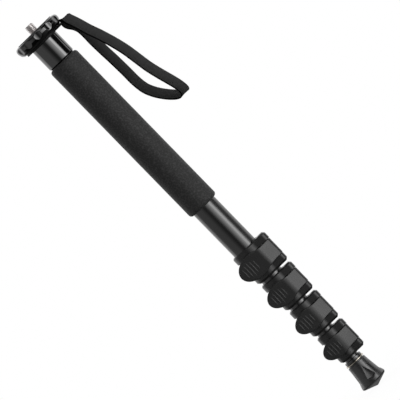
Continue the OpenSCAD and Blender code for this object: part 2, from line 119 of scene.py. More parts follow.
class Slot(Enum):
    """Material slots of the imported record."""

    STEEL = "steel"
    WASHER = "washer_plate"
    ANODISED = "anodised"
    MOULDING = "moulding"
    RUBBER = "brake_rubber"
    FOAM = "foam"
    WEBBING = "webbing"


def math_method(operation: str, reflected: bool = False) -> Callable[..., "Socket"]:
    """A method of a socket that adds one Math node.

    Args:
        operation: the Math node's operation.
        reflected: the other value comes before the socket's own.

    Returns:
        The method, which takes the other value and gives the node's result.
    """

    def method(own: "Socket", other: "Value" = 0.0) -> "Socket":
        """Adds the node on the socket's own value and another."""
        first, second = (other, own) if reflected else (own, other)
        return own.tree.add("ShaderNodeMath", {"operation": operation}, {0: first, 1: second})

    return method


class Socket:
    """A value in a node tree, which adds Math nodes when it is used in an expression."""

    __add__, __radd__ = math_method("ADD"), math_method("ADD", True)
    __sub__, __rsub__ = math_method("SUBTRACT"), math_method("SUBTRACT", True)
    __mul__, __rmul__ = math_method("MULTIPLY"), math_method("MULTIPLY", True)
    sine = math_method("SINE")
    absolute = math_method("ABSOLUTE")
    angle_over = math_method("ARCTAN2")

    def __init__(self, tree: "NodeTree", link: NodeSocket) -> None:
        """Keeps the tree that the socket belongs to and the socket itself."""
        self.tree = tree
        self.link = link


Value = Union[Socket, float, int, str, Sequence[float]]


@dataclass(frozen=True)
class Layer:
    """A noise over a surface, with its part in the colour and in the roughness."""

    scale: float
    share: float
    rough: float
    detail: float = 3.0
    stretch: Triple = (1.0, 1.0, 1.0)


class NodeTree:
    """A node tree that is built node by node."""

    def __init__(self, tree: bpy.types.NodeTree) -> None:
        """Keeps the tree."""
        self.tree = tree

    def add(self, kind: str, settings: Optional[dict] = None, inputs: Optional[dict] = None,
            output: Union[int, str] = 0) -> Socket:
        """Adds a node, with its settings first and then its sockets.

        Args:
            kind: the node's type.
            settings: properties of the node; "stops" are a ramp's places and greys.
            inputs: values or links of its sockets, by name or number.
            output: the output socket that the result stands for.

        Returns:
            That output socket.
        """
        node = self.tree.nodes.new(kind)
        for key, value in (settings or {}).items():
            if key == "stops":
                self._set_stops(node.color_ramp, value)
            else:
                setattr(node, key, value)
        for key, value in (inputs or {}).items():
            self.feed(node.inputs[key], value)
        return Socket(self, node.outputs[output])

    @staticmethod
    def _set_stops(ramp: bpy.types.ColorRamp, stops: Stops) -> None:
        """Gives a colour ramp its stops."""
        while len(ramp.elements) < len(stops):
            ramp.elements.new(1.0)
        for element, (place, level) in zip(ramp.elements, stops):
            element.position = place
            element.color = (level, level, level, 1.0)

    def feed(self, socket: NodeSocket, value: Value) -> None:
        """Links a value into a socket, or sets the socket's own number or colour."""
        if isinstance(value, Socket):
            self.tree.links.new(value.link, socket)
        elif socket.type == "RGBA":
            socket.default_value = (*value, 1.0)
        else:
            socket.default_value = value


class Shader(NodeTree):
    """The node tree of a material or a world."""

    def __init__(self, owner: Union[Material, bpy.types.World]) -> None:
        """Empties the owner's node tree."""
        owner.use_nodes = True
        super().__init__(owner.node_tree)
        self.owner = owner
        self.tree.nodes.clear()

    def place(self, stretch: Triple = (1.0, 1.0, 1.0)) -> Socket:
        """Object coordinates, scaled along each axis."""
        point = self.add("ShaderNodeTexCoord", output="Object")
        return self.add("ShaderNodeMapping", inputs={"Vector": point, "Scale": stretch})

    def noise(self, point: Socket, scale: float, detail: float = 3.0) -> Socket:
        """Fractal noise about 0.5, with a given number of cells in a metre."""
        return self.add("ShaderNodeTexNoise",
                        inputs={"Vector": point, "Scale": scale, "Detail": detail})

    def layer(self, layer: Layer) -> Socket:
        """The noise of a layer."""
        return self.noise(self.place(layer.stretch), layer.scale, layer.detail)

    def cells(self, point: Socket, scale: float) -> Socket:
        """Distance to the nearest cell's middle, with a given number of cells in a metre."""
        return self.add("ShaderNodeTexVoronoi", inputs={"Vector": point, "Scale": scale})

    def ramp(self, value: Socket, stops: Stops) -> Socket:
        """A value sent through a ramp of greys."""
        return self.add("ShaderNodeValToRGB", {"stops": stops}, {"Fac": value})

    def blend(self, share: Value, first: Value, second: Value) -> Socket:
        """A colour between two, by a share."""
        settings = {"data_type": "RGBA", "clamp_factor": True}
        return self.add("ShaderNodeMix", settings, {0: share, 6: first, 7: second}, output=2)

    def shades(self, share: Value, level: float, dark: float, pale: float) -> Socket:
        """A grey between a darker and a paler share of a level."""
        return self.blend(share, tint(level * dark), tint(level * pale))

    @staticmethod
    def around(base: float, *parts: tuple[float, Socket]) -> Value:
        """A number that noises vary, each by an amount about its middle of 0.5."""
        result: Value = base
        for amount, value in parts:
            result = result + amount * (value - 0.5)
        return result

    def attribute(self, name: str) -> Socket:
        """A number that the mesh carries."""
        return self.add("ShaderNodeAttribute", {"attribute_name": name}, output="Fac")

    def bump(self, height: Socket, depth: float, strength: float = 1.0) -> Socket:
        """A normal from a height, whose full range is a depth in millimetres."""
        return self.add("ShaderNodeBump", inputs={"Height": height, "Distance": depth * MM,
                                                  "Strength": strength})

    def end(self, kind: str, shader: Socket) -> None:
        """Links a shader into the tree's output node."""
        node = self.tree.nodes.new(kind)
        self.tree.links.new(shader.link, node.inputs["Surface"])

    def surface(self, inputs: dict) -> Material:
        """Ends a material in a Principled shader with these sockets."""
        self.end("ShaderNodeOutputMaterial", self.add("ShaderNodeBsdfPrincipled", inputs=inputs))
        return self.owner


def new_shader(name: str) -> Shader:
    """An empty material's shader."""
    return Shader(bpy.data.materials.new(name))


def tint(level: float, warmth: float = 0.0) -> Triple:
    """A colour near grey, warmer or cooler by a share."""
    return (level * (1 + warmth), level, level * (1 - warmth))


@dataclass(frozen=True)
class Finish:
    """A finish whose colour and roughness vary with a fine and a broad noise."""

    name: str
    roughness: float
    dark: float
    pale: float
    fine: Layer
    broad: Layer

    def varied(self, shader: Shader) -> tuple[Socket, Socket, Value]:
        """The fine noise, the share of the paler colour and the roughness."""
        fine, broad = shader.layer(self.fine), shader.layer(self.broad)
        share = broad * self.broad.share + fine * self.fine.share
        return fine, share, shader.around(self.roughness, (self.broad.rough, broad), (self.fine.rough, fine))


@dataclass(frozen=True)
class Anodised(Finish):
    """Black anodised aluminium with fine lines along the drawing."""

    level: float = 0.13
    roughness: float = 0.16
    dark: float = 0.84
    pale: float = 1.16
    fine: Layer = Layer(2600.0, 0.3, 0.05, 2.0, (1.0, 1.0, 0.02))
    broad: Layer = Layer(22.0, 0.5, 0.06)
    line_depth: float = 0.0008
    wear_scale: float = 900.0
    edge_level: float = 0.3
    relief: float = 0.5

    def build(self) -> Material:
        """Makes the material."""
        shader = new_shader(self.name)
        lines, share, rough = self.varied(shader)
        worn = shader.attribute(EDGE) * shader.noise(shader.place(), self.wear_scale)
        base = shader.shades(share, self.level, self.dark, self.pale)
        return shader.surface({
            "Base Color": shader.blend(worn, base, tint(self.edge_level)),
            "Metallic": 1.0,
            "Roughness": rough,
            "Normal": shader.bump(lines, self.line_depth, self.relief)})


@dataclass(frozen=True)
class Moulded(Finish):
    """Black moulded nylon with a fine spark texture and rubbed edges."""

    level: float = 0.027
    roughness: float = 0.3
    dark: float = 0.82
    pale: float = 1.2
    fine: Layer = Layer(2300.0, 0.3, 0.1, 4.0)
    broad: Layer = Layer(60.0, 0.6, 0.08)
    grain_depth: float = 0.01
    wear_scale: float = 700.0
    wear_share: float = 0.9
    wear_smooth: float = 0.06
    edge_level: float = 0.055
    gloss: float = 0.5
    index: float = 1.52
    relief: float = 0.6

    def build(self) -> Material:
        """Makes the material."""
        shader = new_shader(self.name)
        grain, share, rough = self.varied(shader)
        rubbed = shader.attribute(EDGE) * shader.noise(shader.place(), self.wear_scale) * self.wear_share
        base = shader.shades(share, self.level, self.dark, self.pale)
        return shader.surface({
            "Base Color": shader.blend(rubbed, base, tint(self.edge_level)),
            "Roughness": rough - self.wear_smooth * rubbed,
            "IOR": self.index,
            "Specular IOR Level": self.gloss,
            "Normal": shader.bump(grain, self.grain_depth, self.relief)})


@dataclass(frozen=True)
class TurnedSteel(Finish):
    """Bright turned metal with tool marks round its axis."""

    colour: Triple = (1.0, 0.91, 0.89)
    roughness: float = 0.4
    dark: float = 0.8
    pale: float = 1.12
    fine: Layer = Layer(5200.0, 0.3, 0.08, 2.0, (0.06, 0.06, 1.0))
    broad: Layer = Layer(260.0, 0.7, 0.14)
    mark_depth: float = 0.006
    relief: float = 0.5

    def build(self) -> Material:
        """Makes the material."""
        shader = new_shader(self.name)
        marks, share, rough = self.varied(shader)
        dark, pale = (tuple(min(1.0, part * level) for part in self.colour)
                      for level in (self.dark, self.pale))
        return shader.surface({
            "Base Color": shader.blend(share, dark, pale),
            "Metallic": 1.0,
            "Roughness": rough,
            "Normal": shader.bump(marks, self.mark_depth, self.relief)})


@dataclass(frozen=True)
class Rubber:
    """Black rubber, dusty and slightly uneven."""

    name: str
    level: float = 0.018
    roughness: float = 0.3
    grain_scale: float = 1500.0
    grain_rough: float = 0.12
    grain_depth: float = 0.015
    gloss: float = 1.0
    index: float = 1.6
    dust_scale: float = 140.0
    dust_ramp: Stops = ((0.5, 0.0), (0.8, 1.0))
    dust_share: float = 0.25
    dust_rough: float = 0.2
    dust_level: float = 0.03
    dust_warmth: float = 0.02
    wear_share: float = 0.5
    relief: float = 0.5

    def build(self) -> Material:
        """Makes the material."""
        shader = new_shader(self.name)
        point = shader.place()
        grain = shader.noise(point, self.grain_scale, detail=4.0)
        dust = shader.ramp(shader.noise(point, self.dust_scale, detail=5.0), self.dust_ramp)
        worn = shader.attribute(EDGE) * grain
        share = dust * self.dust_share + worn * self.wear_share
        dusty = tint(self.dust_level, self.dust_warmth)
        return shader.surface({
            "Base Color": shader.blend(share, tint(self.level), dusty),
            "Roughness": shader.around(self.roughness, (self.grain_rough, grain)) + self.dust_rough * dust,
            "Specular IOR Level": self.gloss,
            "IOR": self.index,
            "Normal": shader.bump(grain, self.grain_depth, self.relief)})


@dataclass(frozen=True)
class FoamSkin:
    """Matt black foam whose open cells show as paler specks."""

    name: str
    level: float = 0.028
    dark: float = 0.8
    pale: float = 1.2
    roughness: float = 0.68
    sheen: float = 0.08
    cell_scale: float = 620.0
    cell_depth: float = 0.19
    fine_scale: float = 1700.0
    fine_rough: float = 0.2
    patch_scale: float = 130.0
    speck_mix: Pair = (0.6, 0.5)
    speck_ramp: Stops = ((0.52, 0.0), (0.74, 1.0))
    speck_share: float = 0.65
    speck_level: float = 0.085
    relief_mix: Pair = (0.5, 0.7)
    relief: float = 0.55

    def build(self) -> Material:
        """Makes the material."""
        shader = new_shader(self.name)
        point = shader.place()
        cells = shader.cells(point, self.cell_scale)
        fine = shader.noise(point, self.fine_scale, detail=4.0)
        patches = shader.noise(point, self.patch_scale)
        mixed = fine * self.speck_mix[0] + cells * self.speck_mix[1]
        specks = shader.ramp(mixed, self.speck_ramp)
        base = shader.shades(patches, self.level, self.dark, self.pale)
        height = cells * self.relief_mix[0] + fine * self.relief_mix[1]
        return shader.surface({
            "Base Color": shader.blend(specks * self.speck_share, base, tint(self.speck_level)),
            "Roughness": shader.around(self.roughness, (self.fine_rough, fine)),
            "Sheen Weight": self.sheen,
            "Normal": shader.bump(height, self.cell_depth, self.relief)})


@dataclass(frozen=True)
class Webbing:
    """Woven nylon webbing: warp yarns along it and ribs across it, with painted shade along its lower edge.
    """

    name: str
    level: float = 0.052
    dark: float = 0.62
    pale: float = 1.38
    roughness: float = 0.68
    sheen: float = 0.15
    width: float = STRAP_WIDTH
    warp_pitch: float = 0.62
    rib_pitch: float = WEFT_PITCH
    fuzz_scale: float = 2400.0
    fuzz_rough: float = 0.25
    shade_mix: Triple = (0.25, 0.35, 0.4)
    patch_scale: float = 90.0
    patch_share: float = 0.25
    patch_dark: float = 0.7
    yarn_mix: Triple = (0.5, 0.6, 0.5)
    yarn_depth: float = 0.1
    relief: float = 0.6
    # painted shade: the strap's lower (-X) edge, which lies in shadow, is drawn with a near-black matt
    # shader
    painted_shade_ramp: Stops = ((0.11, 1.0), (0.16, 0.0))
    edge_level: float = 0.004

    def build(self) -> Material:
        """Makes the material."""
        shader = new_shader(self.name)
        warp, rib = (self.wave(shader.attribute(way), pitch)
                     for way, pitch in (("across", self.warp_pitch), ("along", self.rib_pitch)))
        fuzz = shader.noise(shader.place(), self.fuzz_scale, detail=4.0)
        patches = shader.noise(shader.place(), self.patch_scale)
        across = shader.attribute("across") * (1 / self.width) + 0.5
        # mask of the painted shade along the strap's lower edge
        painted_shade_edge = shader.ramp(across, self.painted_shade_ramp)
        share, height = (warp * mix[0] + rib * mix[1] + fuzz * mix[2]
                         for mix in (self.shade_mix, self.yarn_mix))
        base = shader.shades(share, self.level, self.dark, self.pale)
        worn = shader.blend(patches * self.patch_share, base, tint(self.level * self.patch_dark))
        face = shader.add("ShaderNodeBsdfPrincipled", inputs={
            "Base Color": worn,
            "Roughness": shader.around(self.roughness, (self.fuzz_rough, fuzz)),
            "Sheen Weight": self.sheen,
            "Normal": shader.bump(height, self.yarn_depth, self.relief)})
        # near-black matt shader that paints the shade on the strap's lower edge
        edge = shader.add("ShaderNodeBsdfDiffuse", inputs={"Color": tint(self.edge_level)})
        both = shader.add("ShaderNodeMixShader", inputs={0: painted_shade_edge, 1: face, 2: edge})
        shader.end("ShaderNodeOutputMaterial", both)
        return shader.owner

    @staticmethod
    def wave(place: Socket, pitch: float) -> Socket:
        """A wave from 0 to 1 that repeats with a pitch."""
        return (place * (FULL_TURN / pitch)).sine() * 0.5 + 0.5


class Palette:
    """The finishes of the monopod, each built once."""

    def __init__(self) -> None:
        """Builds every material."""
        self.gloss = Anodised("gloss_anodised", level=0.135, roughness=0.08).build()
        self.platform = Anodised("platform_anodised", level=0.13, roughness=0.12).build()
        self.tube = Anodised("satin_anodised", level=0.115, roughness=0.23).build()
        self.moulded = Moulded("moulded_nylon").build()
        # the thumb ribs are a paler copy of the moulding: a painted highlight along each rib
        self.ribs = Moulded("paler_ribs_painted_highlight", level=0.04, roughness=0.36, grain_depth=0.006,
                            edge_level=0.07).build()
        # the strap plate is a darker copy of the moulding: painted shade for its place under the platform
        self.plate = Moulded("plate_nylon_painted_shade", level=0.01, roughness=0.5, gloss=0.15).build()
        self.rubber = Rubber("foot_rubber").build()
        self.pad = Rubber("pad_rubber", level=0.012, roughness=0.7, gloss=0.4, index=1.5).build()
        self.foam = FoamSkin("foam_skin").build()
        self.webbing = Webbing("strap_webbing").build()
        self.steel = TurnedSteel("stud_steel").build()
        self.washer = TurnedSteel("washer_plating", colour=(0.76, 0.7, 0.6), roughness=0.3).build()


def unit(vector: Array) -> Array:
    """A vector of length one in the same direction."""
    return vector / np.linalg.norm(vector)


def smooth_min(first: Array, second: Array, width: float) -> Array:
    """The smaller of two values, with a rounded crossing of a given width."""
    share = np.maximum(width - np.abs(first - second), 0.0) / width
    return np.minimum(first, second) - share * share * width / 4


def smooth_max(first: Array, second: Array, width: float) -> Array:
    """The larger of two values, with a rounded crossing of a given width."""
    return -smooth_min(-first, -second, width)


def smooth_step(value: Array) -> Array:
    """A soft step from 0 to 1."""
    inside = np.clip(value, 0.0, 1.0)
    return inside * inside * (3 - 2 * inside)


def reach(node: str) -> tuple[Array, Array]:
    """Lowest and highest corner of a CAD node, in millimetres."""
    low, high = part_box(node)
    return np.array(low) / MM, np.array(high) / MM


def round_angles(count: int) -> Array:
    """Even angles once round a circle."""
    return np.linspace(0.0, FULL_TURN, count, endpoint=False)


def circle_ring(radius: Union[float, Array], z: float, angles: Array,
                centre: Pair = (0.0, 0.0)) -> Array:
    """A ring of points at a height, with one radius or one for each angle."""
    x = centre[0] + radius * np.cos(angles)
    y = centre[1] + radius * np.sin(angles)
    return np.stack([x, y, np.full_like(angles, z)], axis=1)


def filleted(corners: Sequence[Triple], steps: int = 5, closed: bool = True,
             guard: float = 0.2) -> list[Triple]:
    """Rounds the corners of a section.

    Args:
        corners: radius, height and rounding of each corner, in millimetres.
        steps: faces in a rounded corner.
        closed: the last corner joins the first.
        guard: distance to a point that keeps the flat side of a rounding flat.

    Returns:
        Radius, height and wear of each point; the wear is 1 on rounded corners.
    """
    points: list[Triple] = []
    count = len(corners)
    for place, (r, z, rounding) in enumerate(corners):
        here = np.array([r, z])
        if rounding <= 0 or (not closed and place in (0, count - 1)):
            points.append((r, z, 0.0))
            continue
        before = unit(np.array(corners[place - 1][:2]) - here)
        after = unit(np.array(corners[(place + 1) % count][:2]) - here)
        half = math.acos(np.clip(before @ after, -1.0, 1.0)) / 2
        tangent = rounding / math.tan(half)
        centre = here + unit(before + after) * rounding / math.sin(half)
        first = here + before * tangent - centre
        last = here + after * tangent - centre
        sweep = math.pi - 2 * half
        points.append((*(centre + first + before * guard), 0.0))
        for step in range(steps + 1):
            turn = sweep * step / steps
            way = (first * math.sin(sweep - turn) + last * math.sin(turn)) / math.sin(sweep)
            points.append((*(centre + way), 1.0))
        points.append((*(centre + last + after * guard), 0.0))
    return points


def refined(points: Sequence[Triple], longest: float, least_r: float = 0.0) -> list[Triple]:
    """Splits the long sides of an open section where it is wider than a radius."""
    result: list[Triple] = []
    for start, end in zip(points, points[1:]):
        length = math.dist(start[:2], end[:2])
        wide = min(start[0], end[0]) >= least_r
        parts = max(1, math.ceil(length / longest)) if wide else 1
        for part in range(parts):
            share = part / parts
            result.append(tuple(here + (there - here) * share for here, there in zip(start, end)))
    result.append(tuple(points[-1]))
    return result


def closed_mesh(name: str, rings: Sequence[Array], wear: Optional[Array] = None,
                loop: bool = False, caps: bool = False) -> Mesh:
    """A closed mesh of quads between rings of points.

    Args:
        name: the mesh's name.
        rings: rings of points with the same count, in millimetres.
        wear: edge wear of each ring, or of each point.
        loop: the last ring joins the first one.
        caps: the end rings are closed by flat faces; otherwise they are points or a line.

    Returns:
        The mesh in metres, its normals outward.
    """
    grid = np.array(rings)
    rows, columns = grid.shape[:2]
    index = np.arange(rows * columns).reshape(rows, columns)
    lower = index if loop else index[:-1]
    upper = np.roll(index, -1, axis=0) if loop else index[1:]
    quads = np.stack([lower, np.roll(lower, -1, axis=1), np.roll(upper, -1, axis=1), upper], axis=-1)
    faces = quads.reshape(-1, 4).tolist()
    if caps:
        faces.append(index[0].tolist()[::-1])
        faces.append(index[-1].tolist())
    mesh = bpy.data.meshes.new(name)
    mesh.from_pydata((grid.reshape(-1, 3) * MM).tolist(), [], faces)
    worn = np.zeros((rows, columns))
    if wear is not None:
        worn = worn + (wear if np.ndim(wear) == 2 else np.asarray(wear)[:, None])
    mesh.attributes.new(EDGE, "FLOAT", "POINT").data.foreach_set("value", worn.ravel())
    return tidy_mesh(mesh)


def tidy_mesh(mesh: Mesh) -> Mesh:
    """Joins doubled points, turns the faces outward and marks the sharp edges."""
    work = bmesh.new()
    work.from_mesh(mesh)
    bmesh.ops.remove_doubles(work, verts=work.verts, dist=JOIN_WITHIN)
    bmesh.ops.dissolve_degenerate(work, edges=work.edges, dist=NO_LENGTH)
    bmesh.ops.recalc_face_normals(work, faces=work.faces)
    work.to_mesh(mesh)
    work.free()
    mesh.shade_smooth()
    mesh.set_sharp_from_angle(angle=SHARP_FROM)
    return mesh


def lathe(name: str, section: Sequence[Triple], columns: int = 128, loop: bool = True,
          centre: Pair = (0.0, 0.0)) -> Mesh:
    """Turns a section round an upright axis."""
    angles = round_angles(columns)
    rings = [circle_ring(r, z, angles, centre) for r, z, _ in section]
    return closed_mesh(name, rings, np.array([worn for _, _, worn in section]), loop)


def sleeve(name: str, node: str, bore: float, soft: float, steps: int, columns: int = 128,
           less: float = 0.0) -> Mesh:
    """A turned ring in place of a CAD node.

    Args:
        name: the mesh's name.
        node: the CAD node that gives its outer radius and its ends.
        bore: its inner radius, in millimetres.
        soft: rounding of its outer edges.
        steps: faces in a rounded edge.
        columns: faces round it.
        less: distance that it is shorter at its lower end.

    Returns:
        The mesh.
    """
    low, high = reach(node)
    bottom = low[2] + less
    corners = [(bore, bottom, 0.0), (high[0], bottom, soft), (high[0], high[2], soft), (bore, high[2], 0.0)]
    return lathe(name, filleted(corners, steps), columns)


def linked(name: str, data: bpy.types.ID) -> bpy.types.Object:
    """A new object in the scene."""
    piece = bpy.data.objects.new(name, data)
    bpy.context.scene.collection.objects.link(piece)
    return piece


def work_object(mesh: Mesh) -> bpy.types.Object:
    """An object for a mesh that is taken away again later."""
    return linked(f"{mesh.name}_work", mesh)


def discard(piece: bpy.types.Object) -> None:
    """Takes a working object and its mesh away."""
    mesh = piece.data
    bpy.data.objects.remove(piece)
    bpy.data.meshes.remove(mesh)


def dress(mesh: Mesh, material: Material) -> None:
    """Gives a mesh its only material."""
    mesh.materials.clear()
    mesh.materials.append(material)


def put(mesh: Mesh, material: Material, node: str,
        instead: bool = True) -> bpy.types.Object:
    """Adds a finished piece to the object.

    Args:
        mesh: the piece's mesh; the piece takes its name.
        material: its finish.
        node: the CAD node that it stands for or sits on.
        instead: the piece is shown instead of that node.

    Returns:
        The piece, riding on the node's body.
    """
    piece = linked(mesh.name, mesh)
    dress(mesh, material)
    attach(piece, body_of(frame["nodes"][node])[0])
    if instead:
        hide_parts(node)
    LOG.info("%s: %d faces", piece.name, len(mesh.polygons))
    return piece


def keep(node: str, material: Material) -> None:
    """Keeps the CAD mesh of a node and gives it a finish."""
    dress(frame["nodes"][node].data, material)
    LOG.info("%s: CAD mesh kept", node)


def evaluated(piece: bpy.types.Object, name: str) -> Mesh:
    """The plain mesh that a piece's modifiers make; the piece itself goes."""
    graph = bpy.context.evaluated_depsgraph_get()
    mesh = bpy.data.meshes.new_from_object(piece.evaluated_get(graph))
    discard(piece)
    mesh.name = name
    return mesh


def cut(mesh: Mesh, cutters: Sequence[Mesh]) -> Mesh:
    """Takes closed meshes away from a closed mesh."""
    name = mesh.name
    piece = work_object(mesh)
    tools = [work_object(cutter) for cutter in cutters]
    for tool in tools:
        modifier = piece.modifiers.new("cut", "BOOLEAN")
        modifier.operation = "DIFFERENCE"
        modifier.solver = "EXACT"
        modifier.object = tool
    result = evaluated(piece, name)
    for tool in tools:
        discard(tool)
    return tidy_mesh(result)


def softened(node: str, name: str, bevel: float) -> Mesh:
    """A copy of a CAD node's mesh with its edges bevelled by a width in millimetres."""
    mesh = frame["nodes"][node].data.copy()
    work = bmesh.new()
    work.from_mesh(mesh)
    bmesh.ops.remove_doubles(work, verts=work.verts, dist=CAD_JOIN_WITHIN)
    bmesh.ops.dissolve_limit(work, angle_limit=FLAT_WITHIN, verts=work.verts, edges=work.edges)
    work.to_mesh(mesh)
    work.free()
    piece = work_object(mesh)
    modifier = piece.modifiers.new("soft", "BEVEL")
    modifier.width = bevel * MM
    modifier.segments = BEVEL_SEGMENTS
    modifier.limit_method = "ANGLE"
    modifier.angle_limit = BEVEL_FROM
    return tidy_mesh(evaluated(piece, name))


class Recipe(NodeTree):
    """A geometry node tree with named inputs, used through a modifier."""

    def __init__(self, name: str) -> None:
        """Starts the tree with its geometry input and output."""
        super().__init__(bpy.data.node_groups.new(name, "GeometryNodeTree"))
        self.sockets: dict[str, str] = {}
        self.tree.interface.new_socket("Geometry", in_out="OUTPUT", socket_type="NodeSocketGeometry")
        self.source = self.tree.nodes.new("NodeGroupInput")
        self.points = self.take("Geometry", "NodeSocketGeometry")

    def take(self, name: str, kind: str) -> Socket:
        """Adds a named input and gives the value that carries it in the tree."""
        item = self.tree.interface.new_socket(name, in_out="INPUT", socket_type=kind)
        self.sockets[name] = item.identifier
        return Socket(self, self.source.outputs[name])

    def numbers(self, *names: str) -> list[Socket]:
        """Adds several number inputs."""
        return [self.take(name, "NodeSocketFloat") for name in names]

    def vector(self, *parts: Value) -> Socket:
        """A vector of three values."""
        return self.add("ShaderNodeCombineXYZ", inputs=dict(enumerate(parts)))

    def finish(self, instances: Socket, material: Socket) -> None:
        """Ends the tree: real geometry with its material."""
        real = self.add("GeometryNodeRealizeInstances", inputs={0: instances})
        smooth = self.add("GeometryNodeSetShadeSmooth", inputs={0: real})
        dressed = self.add("GeometryNodeSetMaterial", inputs={"Geometry": smooth, "Material": material})
        sink = self.tree.nodes.new("NodeGroupOutput")
        self.tree.links.new(dressed.link, sink.inputs[0])

    def run(self, mesh: Mesh, name: str, values: dict) -> Mesh:
        """Runs the tree on a mesh and gives the plain mesh that it makes."""
        piece = work_object(mesh)
        modifier = piece.modifiers.new(name, "NODES")
        modifier.node_group = self.tree
        for key, value in values.items():
            modifier[self.sockets[key]] = value
        return evaluated(piece, name)


@dataclass
class Head:
    """Camera screw, platform, strap plate and neck, with sizes in millimetres."""

    palette: Palette
    stud_r: float = 4.7625
    stud_top: float = 8.5
    stud_chamfer: float = 0.8
    stud_columns: int = 96
    thread_pitch: float = 1.5875
    thread_depth: float = 0.75
    thread_crest: float = 0.25
    thread_open: float = 0.875
    thread_row: float = 0.09
    flange_top: float = -0.2
    flange_bottom: float = -2.2
    flange_soft: float = 0.3
    flange_steps: int = 3
    shank_r: float = 4.0
    shank_soft: float = 0.4
    pad_hole: float = 8.0
    pad_hole_soft: float = 0.3
    pad_soft: float = 0.4
    recess_r: float = 8.0
    recess_soft: float = 0.25
    hole_r: float = 4.2
    lip_r: float = 22.2
    lip_h: float = 0.6
    lip_soft: float = 0.1
    rim: tuple[Triple, ...] = (
        (24.0, -12.0, 0.9), (26.4, -10.0, 2.5), (27.8, -6.5, 4.0), (27.8, -3.5, 1.6), (26.4, -1.6, 1.6),
        (24.2, -0.7, 1.0))
    rim_steps: int = 6
    rim_guard: float = 0.05
    rim_row: float = 0.25
    rim_past_lip: float = 0.5
    rim_columns: int = 720
    dimples: int = 12
    dimple_r: float = 9.2
    dimple_at: float = 35.75
    dimple_turn: float = -0.2
    dimple_soft: float = 0.3
    dimple_edge: float = 0.35
    dimple_wear: float = 0.05
    plate_soft: float = 0.35
    neck_bore: float = GLUED_BORE
    neck_chamfer: float = 1.65
    neck_chamfer_soft: Pair = (0.05, 0.3)
    neck_top_soft: float = 0.4
    neck_longer: float = 1.4
    neck_columns: int = 192

    def build(self) -> None:
        """Builds and dresses every piece of the head."""
        put(self.stud(), self.palette.steel, "camera_screw")
        put(self.pad(), self.palette.pad, "platform_pad")
        put(self.platform(), self.palette.platform, "platform")
        plate = softened("strap_plate", "strap_eye_plate", self.plate_soft)
        put(plate, self.palette.plate, "strap_plate")
        put(self.neck(), self.palette.gloss, "neck_sleeve")
        keep("head_plug", self.palette.moulded)

    def stud(self) -> Mesh:
        """The camera screw with its right-hand thread."""
        low, high = reach("camera_screw")
        angles = round_angles(self.stud_columns)
        top = self.stud_top
        flank = (self.thread_open - self.thread_crest) / 2
        rings = [circle_ring(0.0, top, angles)]
        for z in np.arange(top, self.flange_top, -self.thread_row):
            turn = np.mod(z / self.thread_pitch - angles / FULL_TURN, 1.0)
            away = np.abs(turn - 0.5)
            depth = np.clip((away - self.thread_crest / 2) / flank, 0.0, 1.0)
            lead = self.stud_r - self.stud_chamfer + (top - z)
            rings.append(circle_ring(np.minimum(self.stud_r - self.thread_depth * depth, lead), z, angles))
        flange = filleted([(self.stud_r - self.thread_depth, self.flange_top, 0.0),
                           (high[0], self.flange_top, self.flange_soft),
                           (high[0], self.flange_bottom, self.flange_soft),
                           (self.shank_r, self.flange_bottom, 0.0),
                           (self.shank_r, low[2], self.shank_soft), (0.0, low[2], 0.0)],
                          self.flange_steps, closed=False)
        rings += [circle_ring(r, z, angles) for r, z, _ in flange]
        return closed_mesh("camera_stud", rings)

    def pad(self) -> Mesh:
        """The rubber pad on the platform."""
        low, high = reach("platform_pad")
        return lathe("platform_rubber", filleted([
            (self.pad_hole, low[2], 0.0), (high[0], low[2], 0.0), (high[0], high[2], self.pad_soft),
            (self.pad_hole, high[2], self.pad_hole_soft)]))

    def platform(self) -> Mesh:
        """The platform with finger dimples round its rim."""
        low, high = reach("platform")
        top = high[2]
        section = filleted([(self.hole_r, low[2], 0.0), *self.rim,
                            (self.lip_r, top + self.lip_h, self.lip_soft), (self.lip_r, top, 0.0),
                            (self.recess_r, top, self.recess_soft),
                            (self.recess_r, self.flange_bottom, 0.0),
                            (self.hole_r, self.flange_bottom, 0.0)], self.rim_steps, guard=self.rim_guard)
        section = refined(section + section[:1], self.rim_row, self.lip_r + self.rim_past_lip)[:-1]
        angles = round_angles(self.rim_columns)
        step = FULL_TURN / self.dimples
        turn = np.mod(angles + math.pi / 2 - math.radians(self.dimple_turn) + step / 2, step) - step / 2
        across = self.dimple_at * np.cos(turn)
        inside = across ** 2 - self.dimple_at ** 2 + self.dimple_r ** 2
        hollow = np.where(inside > 0, across - np.sqrt(np.maximum(inside, 0.0)), FAR)
        rings, wear = [], []
        for r, z, _ in section:
            radius = smooth_min(np.full_like(angles, r), hollow, self.dimple_soft)
            rings.append(circle_ring(radius, z, angles))
            close = np.clip(1 - np.abs(hollow - r) / self.dimple_edge, 0.0, 1.0)
            wear.append(close * self.dimple_wear)
        return closed_mesh("platform_disc", rings, np.array(wear), loop=True)

    def neck(self) -> Mesh:
        """The glossy sleeve under the strap plate."""
        low, high = reach("neck_sleeve")
        end = low[2] - self.neck_longer
        inner, outer = self.neck_chamfer_soft
        return lathe("neck_tube", filleted([
            (self.neck_bore, end, 0.0), (high[0] - self.neck_chamfer, end, inner),
            (high[0], end + self.neck_chamfer, outer), (high[0], high[2], self.neck_top_soft),
            (self.neck_bore, high[2], 0.0)]), self.neck_columns)


